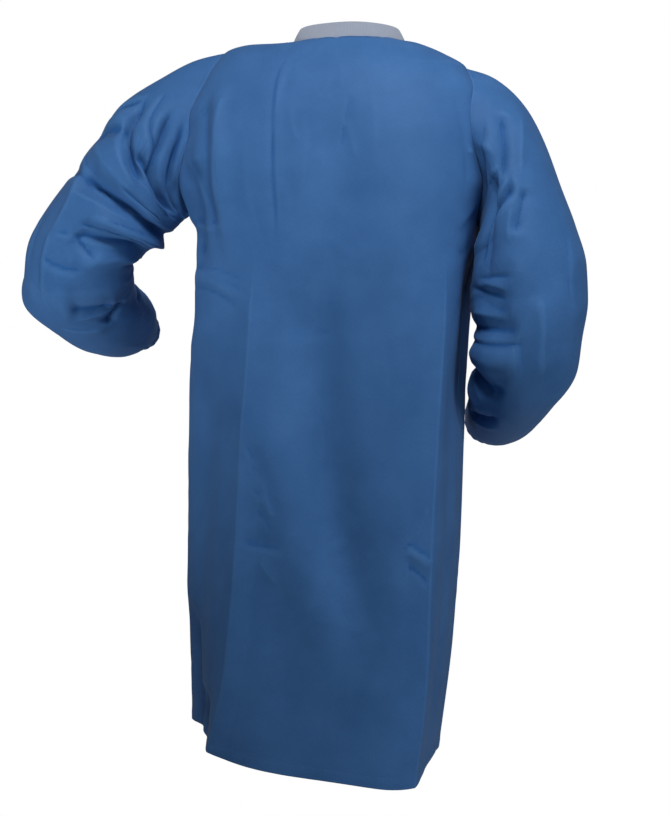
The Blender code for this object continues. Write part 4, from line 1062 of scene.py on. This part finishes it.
FINE_RIGHT_FOLDS = [
    (48, 0.040, 70, 0.060, 92, 0.084, 0.0050, -0.0024, 0.0016, 1.3),
    (30, 0.056, 52, 0.080, 66, 0.110, 0.0055, 0.0014, 0.0010, 1.4),
    (72, 0.114, 96, 0.110, 122, 0.100, 0.0050, -0.0030, 0.0020, 1.2),
    (76, 0.096, 98, 0.092, 124, 0.084, 0.0050, 0.0022, 0.0, 1.3),
    (62, 0.122, 76, 0.142, 88, 0.166, 0.0045, -0.0022, 0.0014, 1.3),
    (84, 0.126, 92, 0.146, 96, 0.172, 0.0045, 0.0016, 0.0, 1.3),
    (112, 0.036, 132, 0.100, 140, 0.180, 0.0055, -0.0030, 0.0020, 1.3),
    (136, 0.040, 152, 0.100, 156, 0.170, 0.0060, 0.0020, 0.0, 1.4),
    (150, 0.180, 122, 0.198, 92, 0.214, 0.0045, -0.0016, 0.0012, 1.3),
    (140, 0.196, 122, 0.212, 100, 0.232, 0.0045, 0.0022, 0.0, 1.3),
    (160, 0.192, 132, 0.218, 100, 0.242, 0.0045, -0.0018, 0.0012, 1.3),
    (160, 0.240, 132, 0.254, 100, 0.262, 0.0050, 0.0020, 0.0012, 1.3),
    (178, 0.262, 140, 0.268, 104, 0.272, 0.0045, -0.0022, 0.0014, 1.3),
    (202, 0.285, 128, 0.287, 84, 0.286, 0.0050, -0.0026, 0.0018, 1.2),
    (182, 0.316, 132, 0.318, 92, 0.314, 0.0050, 0.0012, 0.0, 1.3),
    (182, 0.330, 142, 0.337, 110, 0.344, 0.0045, -0.0030, 0.0020, 1.2),
    (176, 0.346, 146, 0.352, 116, 0.358, 0.0045, 0.0020, 0.0, 1.3),
    (184, 0.384, 148, 0.392, 116, 0.398, 0.0045, -0.0022, 0.0012, 1.3),
    (130, 0.420, 108, 0.396, 86, 0.372, 0.0045, -0.0030, 0.0018, 1.2),
    (118, 0.428, 94, 0.410, 74, 0.392, 0.0045, 0.0018, 0.0, 1.3),
    (72, 0.240, 68, 0.278, 62, 0.320, 0.0060, 0.0010, -0.0008, 1.4),
    (30, 0.180, 40, 0.220, 36, 0.270, 0.0060, -0.0010, 0.0008, 1.4),
    (282, 0.296, 236, 0.294, 190, 0.294, 0.0045, 0.0020, 0.0, 1.3),
    (286, 0.284, 238, 0.288, 186, 0.286, 0.0050, -0.0026, 0.0018, 1.2),
    (280, 0.336, 236, 0.340, 192, 0.332, 0.0045, -0.0026, 0.0018, 1.3),
    (286, 0.264, 246, 0.268, 200, 0.264, 0.0045, -0.0020, 0.0012, 1.3),
    (310, 0.060, 288, 0.090, 262, 0.136, 0.0050, -0.0026, 0.0018, 1.3),
    (300, 0.176, 262, 0.186, 226, 0.180, 0.0050, -0.0026, 0.0016, 1.3),
    (290, 0.200, 258, 0.206, 226, 0.202, 0.0050, 0.0018, 0.0, 1.4),
    (300, 0.380, 270, 0.392, 240, 0.394, 0.0050, -0.0018, 0.0010, 1.3),
    (290, 0.420, 262, 0.412, 236, 0.404, 0.0050, 0.0016, 0.0, 1.4),
]
print(len(FINE_LEFT_FOLDS), "and", len(FINE_RIGHT_FOLDS), "fine folds")

# %% [markdown]
# A sleeve starts exactly on its armhole, and that shape fades into its own round sections over
# the first hand's width. At the wrist the elastic draws the cloth into small uneven gathers,
# which run out a few centimetres up the arm.

# %% Lay a sleeve's surface
SLEEVE_ROWS = 176
SLEEVE_GIRTH = 0.075  # mean radius, which turns angles round a sleeve into metres
GATHERS, GATHER_DEPTH, GATHER_RUN = 16, 0.0013, 0.050
JOIN_RUN = 0.13  # the armhole's shape fades into the sleeve's own over this distance
ROUND_POWER = 1.6  # how round a main fold's crest is


def armhole_loop(side):
    """An armhole's points, from the shoulder point down the back and up the front."""
    down = SHOULDER_DOWN + (UNDERARM_DOWN - SHOULDER_DOWN) * arm_steps()
    back_edge = 0.5 * armhole_share(down, ARMHOLE_CUT_BACK if side > 0 else ARMHOLE_CUT_RIGHT)
    front_edge = 1 - 0.5 * armhole_share(down, ARMHOLE_CUT_FRONT)
    both = side * np.stack([back_edge, front_edge], axis=1)
    points, _ = body_cloth(down, both, fine=False)
    return np.concatenate([points[:, 0], points[-2:0:-1, 1]])


def fold_rows(folds, turns, at):
    """Height of every fold of a sleeve. Rows go down it and columns round it."""
    total = np.zeros((len(at), len(turns)))
    down = np.broadcast_to(at[:, None], total.shape)
    for turn_a, down_a, turn_b, down_b, turn_c, down_c, width, height, lean, *power in folds:
        places = [(math.radians(t) * SLEEVE_GIRTH, d)
                  for t, d in ((turn_a, down_a), (turn_b, down_b), (turn_c, down_c))]
        centre = math.radians(turn_b)
        wrapped = (turns - centre + math.pi) % (2 * math.pi) - math.pi + centre
        across = np.broadcast_to(wrapped[None, :] * SLEEVE_GIRTH, total.shape)
        sharpness = power[0] if power else ROUND_POWER
        total += fold_profile(across, down, path_points(places), width, height, lean, sharpness)
    return total


def gathers(turns, near_cuff, seed):
    """Gathers at the elastic: the solid's even ones, made uneven and finer near the edge."""
    chance = np.random.default_rng(seed)
    uneven = sum(
        chance.uniform(0.2, 0.5) * np.sin(k * turns + chance.uniform(0, 6.28)) for k in (2, 3, 5)
    )
    main = np.cos(turns * GATHERS + 0.5 * uneven) * (1 + 0.3 * uneven)
    small = np.cos(turns * (2 * GATHERS + 3) + 0.8 * uneven)
    return GATHER_DEPTH * (near_cuff * main + 0.2 * near_cuff**3 * small)


def sleeve_rings(table, side, turns):
    """A sleeve's plain rings, from its armhole to its cuff, and their distances down."""
    rows = np.array(table)
    middle = (rows[:, 0:3] + rows[:, 3:6]) / 2
    keys = run_of(middle)
    at = keys[-1] * np.linspace(0, 1, SLEEVE_ROWS + 1)
    read = [curve_through(keys, rows[:, k], at) for k in range(7)]
    inner, outer, deep = np.stack(read[0:3], -1), np.stack(read[3:6], -1), read[6]
    middle, half = (inner + outer) / 2, (outer - inner) / 2
    behind = unit(np.cross(half, unit(np.gradient(middle, axis=0))))
    behind *= np.sign(behind[:1, 1:2])
    cosine, sine = np.cos(turns)[None, :, None], np.sin(turns)[None, :, None]
    rings = middle[:, None] + half[:, None] * cosine + (behind * deep[:, None])[:, None] * sine
    frames = np.stack([unit(half), behind, unit(np.cross(half, behind))], axis=1)
    left_over = np.einsum("jk,lk->jl", armhole_loop(side) - rings[0], frames[0])
    fade = 1 - ramp(at / JOIN_RUN)
    return rings + fade[:, None, None] * np.einsum("jl,ilk->ijk", left_over, frames), at


def sleeve_cloth(table, folds, fine_folds, side, seed, depth=1.5):
    """A sleeve's points, outward directions, distances down and angles round it.

    `depth` scales its fine folds and its crumple.
    """
    turns = np.linspace(0, 2 * math.pi, 2 * ARM_ROWS, endpoint=False)
    rings, at = sleeve_rings(table, side, turns)
    outward = grid_outward(rings, True)
    outward *= np.sign((outward * (rings - rings.mean(axis=1, keepdims=True))).sum())
    rise = fold_rows(folds, turns, at) + depth * fold_rows(fine_folds, turns, at)
    across, down = np.meshgrid(turns * SLEEVE_GIRTH, at)
    bend = 0.5 + 0.5 * np.cos(turns - math.pi)[None, :]  # 1 on the body side, 0 outside
    crumple = 0.0012 * facets(across, down, 0.042, seed)
    crumple += 0.0003 * facets(across, down, 0.017, seed + 1)
    # the crumple fades where a turn starts and ends, because it doesn't meet itself there
    round_join = ramp(turns / 0.5) * ramp((2 * math.pi - turns) / 0.5)
    rise *= ramp(at / 0.018)[:, None]
    near_cuff = ramp(1 - (at[-1] - at) / GATHER_RUN)[:, None]
    rise = rise * (1 - near_cuff) + gathers(turns[None, :], near_cuff, seed)
    cloth = rings + outward * rise[..., None]
    risen = grid_outward(cloth, True)
    outward = risen * np.sign((risen * outward).sum())
    where = (0.6 + 0.7 * bend) * round_join[None, :] * ramp(at / 0.02)[:, None]
    small = depth * crumple * where
    small += seam_dip(at[:, None], across, seed)
    return cloth + outward * small[..., None], outward, at, turns


def tube_sheet(name, ending, grid, down, turns, side, wall=SHEET_WALL):
    """A tube of cloth as a sheet that replaces the solid of this name."""
    flat = np.stack(np.meshgrid(turns * SLEEVE_GIRTH, -down), axis=-1)
    if side < 0:
        grid, flat = grid[:, ::-1], flat[:, ::-1]
    made = make_sheet(f"{name}_{ending}", grid, flat, blue_cloth, around=True, wall=wall)
    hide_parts(name)
    return made


def sleeve_sheet(name, cloth, side):
    """The sleeve as a sheet, its first rows turned in behind the armhole seam."""
    grid, outward, at, turns = cloth
    back_on = unit(grid[0] - grid[2])
    inside = [grid[0] + back_on * on - outward[0] * deep
              for on, deep in ((0.007, 0.0022), (0.002, 0.0011))]
    grid = np.concatenate([inside, grid])
    down = np.concatenate([[0, 0], at])
    return tube_sheet(name, "cloth", grid, down, turns, side)


left_cloth = sleeve_cloth(LEFT_SLEEVE, LEFT_SLEEVE_FOLDS, FINE_LEFT_FOLDS, 1, 31)
right_cloth = sleeve_cloth(RIGHT_SLEEVE, RIGHT_SLEEVE_FOLDS, FINE_RIGHT_FOLDS, -1, 41, depth=1.15)
sleeve_left = sleeve_sheet("sleeve_left", left_cloth, 1)
sleeve_right = sleeve_sheet("sleeve_right", right_cloth, -1)
SLEEVE_AREAS = [area_of(cloth[0]) for cloth in (left_cloth, right_cloth)]
print("left sleeve", round(left_cloth[2][-1], 3), "m down the middle")

# %% [markdown]
# ## The cuffs
#
# The sleeve's end is folded over a band of elastic and sewn down, which makes a casing 14 mm
# wide. The casing carries on every gather of the sleeve, bulges between the seam and the edge,
# and turns back inside, so from the open end the cloth looks double.

# %% Fold the cuff casings
CUFF_WIDTH, CUFF_WALL = 0.014, 0.0005


def cuff_sheet(name, cloth, side):
    """A casing that carries on from the sleeve's last row and folds back inside itself."""
    grid, _, at, turns = cloth
    run = unit((grid[-1] - grid[-4]).mean(axis=0))
    waves = np.fft.rfft(grid[-1], axis=0)
    waves[5:] = 0  # keeps the ring's broad shape and drops its gathers
    even = np.fft.irfft(waves, len(turns), axis=0)
    middle = even.mean(axis=0)
    outward = unit(even - middle - ((even - middle) @ run)[:, None] * run)
    rows, outside, inside = [], np.linspace(0, 1, 11), np.linspace(0.15, 1, 9)
    for t in outside:  # from the seam to the edge
        bulge = 0.0011 * math.sin(math.pi * t) ** 0.6 - 0.0008 * math.exp(-((t / 0.12) ** 2))
        calm = 0.75 * ramp(t)
        rows.append(grid[-1] * (1 - calm) + even * calm + run * CUFF_WIDTH * t + outward * bulge)
    for t in inside:  # round the edge and back to the seam
        back_in = 0.0016 * min(1.0, 4 * t)
        ring = grid[-1] * 0.25 + even * 0.75
        rows.append(ring + run * CUFF_WIDTH * (1.02 - t) - outward * back_in)
    down = at[-1] + np.concatenate([outside, 1 + inside]) * CUFF_WIDTH
    return tube_sheet(name, "casing", np.stack(rows), down, turns, side, CUFF_WALL)


cuff_left = cuff_sheet("cuff_left", left_cloth, 1)
cuff_right = cuff_sheet("cuff_right", right_cloth, -1)

# %% [markdown]
# ## The knit collar
#
# The collar is a band of ribbed knit, folded double, that hugs the neck and leans in. Its ribs
# are real ridges here, about 2 mm apart, because they catch the light along the whole band. The
# stitches on each rib are far smaller, so they are left to the finish.

# %% Knit the collar
COLLAR_HEIGHT, COLLAR_LEAN, COLLAR_WALL = 0.026, math.radians(26), 0.0024
COLLAR_TOP = 0.0012  # radius of the fold along the top
END_GAP = 0.00375  # share of the half girth left open at each end, where the two ends meet
RIB, RIB_HEIGHT = 0.0021, 0.00042
SIDE_DIP = 0.17  # the band is this share lower at the sides of the neck


def collar_grid():
    """The band from its outer foot, over its folded top, to its inner foot."""
    wide = np.linspace(END_GAP - 1, 1 - END_GAP, 400)
    foot = body_cloth(np.zeros(1), wide[None, :], fine=False)[0][0]
    length = run_of(foot)
    count = int(length[-1] / RIB)
    along = np.linspace(0, length[-1], count * 5 + 1)
    foot = np.stack([np.interp(along, length, foot[:, k]) for k in range(3)], axis=-1)
    tangent = unit(np.gradient(foot, axis=0))
    out = unit(np.stack([tangent[:, 1], -tangent[:, 0], 0 * along], axis=-1))
    out *= np.sign((out * (foot - foot.mean(axis=0))).sum())
    up = unit(np.cross(tangent, out))
    up *= np.sign(up[:, 2].mean())
    rise = unit(up * math.cos(COLLAR_LEAN) - out * math.sin(COLLAR_LEAN))
    face = unit(out * math.cos(COLLAR_LEAN) + up * math.sin(COLLAR_LEAN))
    ribs = RIB_HEIGHT * np.abs(np.sin(math.pi * along / length[-1] * count)) ** 0.7 - 0.0003
    wander = 0.0004 * soft_noise(along / 0.02, 0 * along, 61)
    half = np.sin(2 * math.pi * along / length[-1]) ** 2  # 1 at the sides of the neck
    lower = 1 - SIDE_DIP * half
    rows = []  # height, place through the band, and which way its face looks
    for t in np.linspace(-0.12, 1, 13):
        belly = 0.0005 * math.sin(math.pi * max(t, 0)) - 0.0006 * (t < 0)
        rows.append((0.0002 + (COLLAR_HEIGHT - 0.0014) * t, belly, 1.0))
    for t in np.linspace(0.15, 0.85, 5):
        turn = math.pi * t
        rows.append((COLLAR_HEIGHT - COLLAR_TOP + COLLAR_TOP * math.sin(turn),
                     -COLLAR_TOP * (1 - math.cos(turn)), math.cos(turn)))
    for t in np.linspace(1, 0, 9):
        rows.append((0.0002 + (COLLAR_HEIGHT - 0.0014) * t, -COLLAR_WALL, -1.0))
    grid = np.stack([
        foot + rise * (high * lower + wander * high / COLLAR_HEIGHT)[:, None]
        + face * (off + ribs * way)[:, None]
        for high, off, way in rows
    ])
    steps = np.linalg.norm(np.diff(grid, axis=0), axis=2).mean(axis=1)
    down = np.concatenate([[0], np.cumsum(steps)])
    flat = np.stack(np.meshgrid(along, down), axis=-1)
    return grid, flat, length[-1], count


KNIT_SHADE, KNIT_LIGHT = (0.178, 0.204, 0.265), (0.285, 0.323, 0.405)
KNIT_FOOT = (0.145, 0.220, 0.380)
KNIT_STITCH, KNIT_LEAN = 0.0016, 0.0008


def rib_knit(name):
    """Pale grey knit: small leaning stitches on each rib, fuzzy thread, bluish at the seam."""
    made, tree, shader = finish_for(name, 0.85, 0.25, 0.6, 0.3)
    flat = node(tree, "ShaderNodeUVMap", {"uv_map": "cloth"}, {})
    across = node(tree, "ShaderNodeSeparateXYZ", {}, {0: flat})
    up = node(tree, "ShaderNodeSeparateXYZ", {}, {0: flat}, output=1)
    fuzz = noise(tree, flat, 1400.0, 3.0, 0.7)
    clouds = noise(tree, flat, 60.0, 3.0, 0.6)
    lean = (across * (math.pi / RIB)).wave().size()
    stitches = ((up + lean * KNIT_LEAN) * (2 * math.pi / KNIT_STITCH)).wave() * 0.5 + 0.5
    thread = (stitches * 0.5 + lean * 0.4 + fuzz * 0.35 - 0.1).held(0.0, 1.0)
    mix = (thread * 0.7 + clouds * 0.3).held(0.0, 1.0)
    grey = shade_between(tree, KNIT_SHADE, KNIT_LIGHT, mix)
    foot = (1.0 - up * 260.0).held(0.0, 0.8)
    colour = node(tree, "ShaderNodeMix", {"data_type": "RGBA"},
                  {0: foot, 6: grey, 7: (*KNIT_FOOT, 1)}, output=2)
    tree.links.new(colour.socket, shader.inputs["Base Color"])
    bumped(tree, shader, stitches * 0.7 + fuzz * 0.3, 0.00025, 0.8)
    return made


grey_knit = rib_knit("grey_rib_knit")
grid, flat, NECK_LENGTH, rib_count = collar_grid()
collar = make_sheet("collar_knit", grid, flat, grey_knit, wall=0.0006)
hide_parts("collar")
print(rib_count, "ribs in", round(NECK_LENGTH, 3), "m")

# %% [markdown]
# ## Snap caps
#
# Five plastic snaps close the front. Each cap is a small disc with a rounded rim and a shallow
# dish in its face. One is modelled from a cylinder with inset, move and bevel, as by hand, and
# then copied to its four other places, each copy with its own mesh.

# %% Model one snap cap and set five
SNAP_RADIUS, SNAP_HEIGHT = 0.0062, 0.0018
SNAP_DOWNS = np.linspace(0.050, 0.660, 5)
SNAP_STEPS = ((0.0019, -0.00045), (0.0016, 0.00025))  # inset, then how far the face moves


def moulded_plastic():
    """Slightly uneven white plastic with a satin face."""
    made, tree, shader = finish_for("white_snap_plastic", 0.38, 0.0, 0.5, 0.5)
    solid = node(tree, "ShaderNodeTexCoord", {}, {}, output=3)
    clouds = noise(tree, solid, 260.0, 3.0, 0.6)
    white = shade_between(tree, (0.52, 0.54, 0.57), (0.66, 0.68, 0.70), clouds)
    tree.links.new(white.socket, shader.inputs["Base Color"])
    rough = 0.30 + 0.16 * clouds
    tree.links.new(rough.socket, shader.inputs["Roughness"])
    bumped(tree, shader, noise(tree, solid, 1800.0, 2.0, 0.5), 0.00003, 0.6)
    return made


def snap_cap():
    """One cap on the origin, its face towards +Z."""
    bpy.ops.object.select_all(action="DESELECT")
    bpy.ops.mesh.primitive_cylinder_add(vertices=40, radius=SNAP_RADIUS, depth=SNAP_HEIGHT,
                                        location=(0, 0, SNAP_HEIGHT / 2))
    cap = bpy.context.object
    bpy.ops.object.mode_set(mode="EDIT")
    bpy.ops.mesh.select_mode(type="FACE")
    bpy.ops.mesh.select_all(action="DESELECT")
    bpy.ops.object.mode_set(mode="OBJECT")
    for face in cap.data.polygons:
        face.select = face.normal.z > 0.9
    bpy.ops.object.mode_set(mode="EDIT")
    for inset, move in SNAP_STEPS:
        bpy.ops.mesh.inset(thickness=inset)
        bpy.ops.transform.translate(value=(0, 0, move))
    bpy.ops.object.mode_set(mode="OBJECT")
    bevel = cap.modifiers.new("rounded rim", "BEVEL")
    bevel.width, bevel.segments, bevel.limit_method = 0.0005, 3, "ANGLE"
    bpy.ops.object.modifier_apply(modifier=bevel.name)
    bpy.ops.object.shade_smooth_by_angle(angle=math.radians(40))
    return cap


snap_white = moulded_plastic()
first_cap = snap_cap()
places, outward = body_cloth(SNAP_DOWNS, np.ones((5, 1)))
for number in range(5):
    out = Vector(outward[number, 0])
    turn = out.to_track_quat("Z", "Y").to_matrix().to_4x4()
    base = Vector(places[number, 0]) + out * (LAP_RAISE + 0.0005)
    cap = bpy.data.objects.new(f"snap_cap_{number + 1}", first_cap.data.copy())
    cap.data.transform(Matrix.Translation(base) @ turn)
    bpy.context.scene.collection.objects.link(cap)
    cap.data.materials.clear()
    cap.data.materials.append(snap_white)
    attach(cap, "root")
    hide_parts(f"snap_{number + 1}")
bpy.data.objects.remove(first_cap)
print("5 snap caps,", len(cap.data.polygons), "faces each")

# %% [markdown]
# ## Stitches
#
# A lockstitch shows as short rods of thread, each sunk at its two ends. Thousands of curves would
# be heavy, so each stitch is one small pointed rod, and all the stitches of a seam are one mesh.
# The hem, the lap's facing and both casings are stitched with matching blue thread.

# %% Sew the visible seams
STITCH, STITCH_GAP, THREAD = 0.0030, 0.0009, 0.00030
LINE_POINTS = 420  # places along a line of stitches


def stitch_line(points, outward):
    """Rods of thread along a line of places on the cloth: their corners and faces."""
    length = run_of(points)
    starts = np.arange(0.002, length[-1] - STITCH - 0.002, STITCH + STITCH_GAP)

    def read(at, values):
        return np.stack([np.interp(at, length, values[:, k]) for k in range(3)], -1)

    corners, faces = [], []
    for start in starts:
        base = len(corners)
        begin, end = read(np.array([start, start + STITCH]), points)
        out = unit(read(np.array([start + STITCH / 2]), outward))[0]
        side = unit(np.cross(end - begin, out))
        corners.append(begin - out * THREAD)
        for part in (0.18, 0.82):
            middle = begin + (end - begin) * part
            for k in range(5):
                turn = 2 * math.pi * k / 5
                corners.append(middle + THREAD * (math.cos(turn) * out + math.sin(turn) * side))
        corners.append(end - out * THREAD)
        for k in range(5):
            m = (k + 1) % 5
            faces.append((base, base + 1 + m, base + 1 + k))
            faces.append((base + 1 + k, base + 1 + m, base + 6 + m, base + 6 + k))
            faces.append((base + 11, base + 6 + k, base + 6 + m))
    return corners, faces


def sew(name, lines, finish):
    """All the stitches of one seam as one mesh."""
    corners, faces = [], []
    for points, outward in lines:
        more, sides = stitch_line(points, outward)
        faces += [tuple(len(corners) + k for k in side) for side in sides]
        corners += more
    mesh = bpy.data.meshes.new(name)
    mesh.from_pydata([tuple(corner) for corner in corners], [], faces)
    mesh.update()
    mesh.shade_smooth()
    made = bpy.data.objects.new(name, mesh)
    bpy.context.scene.collection.objects.link(made)
    mesh.materials.append(finish)
    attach(made, "root")
    print(name, len(faces) // 15, "stitches")


def thread_finish():
    """Twisted thread in the cloth's blue, a little lighter."""
    made, tree, shader = finish_for("blue_thread", 0.7, 0.2)
    solid = node(tree, "ShaderNodeTexCoord", {}, {}, output=3)
    twist = noise(tree, solid, 2500.0, 2.0, 0.5)
    blue = shade_between(tree, (0.030, 0.085, 0.200), (0.050, 0.125, 0.270), twist)
    tree.links.new(blue.socket, shader.inputs["Base Color"])
    return made


blue_thread = thread_finish()
lines = []
hem_down = np.array([HEM_DOWN - HEM_STITCH])
# each panel's own stretch of the hem, in shares of the half girth, clear of the side seams
hem_parts = (("back", -0.495, 0.495), ("left", 0.505, 1.028), ("right", -1.028, -0.505))
for panel, first, last in hem_parts:
    wide = np.linspace(first, last, LINE_POINTS)[None, :]
    points, out = body_cloth(hem_down, wide)
    raised = hem_and_neck(hem_down)
    if panel != "back":
        raised = raised + lap_relief(np.abs(wide), 1.0 * (panel == "left"))
    lines.append(((points + out * raised[..., None])[0], out[0]))
sew("hem_stitches", lines, blue_thread)
lap_share = np.full((LINE_POINTS, 1), 1 + (LAP - FACING_STITCH) / HALF_GIRTH)
long = np.linspace(HEM_DOWN - 0.004, 0.003, LINE_POINTS)
points, out = body_cloth(long, lap_share)
raised = lap_relief(lap_share, 1.0) + hem_and_neck(long)
lap_line = ((points + out * raised[..., None])[:, 0], out[:, 0])
sew("lap_stitches", [lap_line], blue_thread)
for name, cloth in (("cuff_left_stitches", left_cloth), ("cuff_right_stitches", right_cloth)):
    ring, out = (np.concatenate([part[-1], part[-1][:1]]) for part in cloth[:2])
    sew(name, [(ring - out * GROOVE_DEPTH, out)], blue_thread)

# %% [markdown]
# ## What was cut
#
# Each sheet's area, folds included, is printed as the sheet is made, and the areas of the back,
# the left front and the sleeves are kept. A maker adds the seams and the hem.

# %% [markdown]
# ## Floor and light
#
# The photo is a plain studio cut-out, lit softly from above and behind the camera, bright on the
# shoulders and dim at the hem. A near lamp gives that falling light, because it fades with
# distance. Weak lamps at the sides and in front and a pale even surround fill the shadows. The
# left one has a narrow beam, so it reaches the raised forearm and leaves the skirt's left strip
# dim. The fills make no highlights, or the outline would get a bright rim. A pale floor is below.

# %% Light the coat
def soft_lamp(name, place, target, power, size, spread=180):
    """A round area lamp aimed at a target. Its spread is the beam's width in degrees."""
    lamp = bpy.data.objects.new(name, bpy.data.lights.new(name, "AREA"))
    lamp.data.energy, lamp.data.size, lamp.data.shape = power, size, "DISK"
    lamp.data.spread = math.radians(spread)
    lamp.location = place
    aim = Vector(target) - Vector(place)
    lamp.rotation_euler = aim.to_track_quat("-Z", "Y").to_euler()
    bpy.context.scene.collection.objects.link(lamp)
    return lamp


soft_lamp("key", (-0.24, 0.98, 0.80), (-0.05, 0.0, -0.22), 17.5, 0.5)
right_fill = soft_lamp("right_fill", (-1.5, 0.7, -0.4), (-0.2, 0.0, -0.5), 8.0, 0.8)
left_fill = soft_lamp("left_fill", (1.00, 0.80, -0.80), (0.44, 0.08, -0.34), 0.9, 0.6, 52)
front_fill = soft_lamp("front_fill", (0.60, -1.50, 0.60), (0.0, 0.0, -0.45), 30.0, 0.7)
for lamp in (right_fill, left_fill, front_fill):
    lamp.visible_glossy = False
world = bpy.data.worlds.new("pale studio")
bpy.context.scene.world = world
world.use_nodes = True
tree = world.node_tree
surround = tree.nodes["Background"]
surround.inputs["Color"].default_value = (1, 1, 1, 1)
surround.inputs["Strength"].default_value = 0.14
backdrop = node(tree, "ShaderNodeBackground", {}, {"Color": (1, 1, 1, 1), "Strength": 1.0})
seen = node(tree, "ShaderNodeLightPath", {}, {})
both = node(tree, "ShaderNodeMixShader", {},
            {0: seen, 1: Wire(surround.outputs[0]), 2: backdrop})
tree.links.new(both.socket, tree.nodes["World Output"].inputs["Surface"])
bpy.context.scene.view_settings.view_transform = "Standard"
bpy.ops.object.select_all(action="DESELECT")
bpy.ops.mesh.primitive_circle_add(vertices=96, radius=1.1, fill_type="NGON",
                                  location=(0, 0, -1.45))
floor = bpy.context.object
floor.name = "floor"
pale, tree, shader = finish_for("pale_floor", 0.9, 0.0)
shader.inputs["Base Color"].default_value = (0.72, 0.72, 0.72, 1)
floor.data.materials.append(pale)
floor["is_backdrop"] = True
print("lights and floor ready")

# %% [markdown]
# ## Compare the size
#
# The dressed coat has to stay as large as the imported one. The corners of the two boxes are
# compared, and how far each one moved is printed.

# %% Compare the two sizes
dressed_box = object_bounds()
for which, packed, dressed in zip(("low", "high"), cad_box, dressed_box):
    print(which, "corner moved by", [round((b - a) * 1000, 1) for a, b in zip(packed, dressed)], "mm")
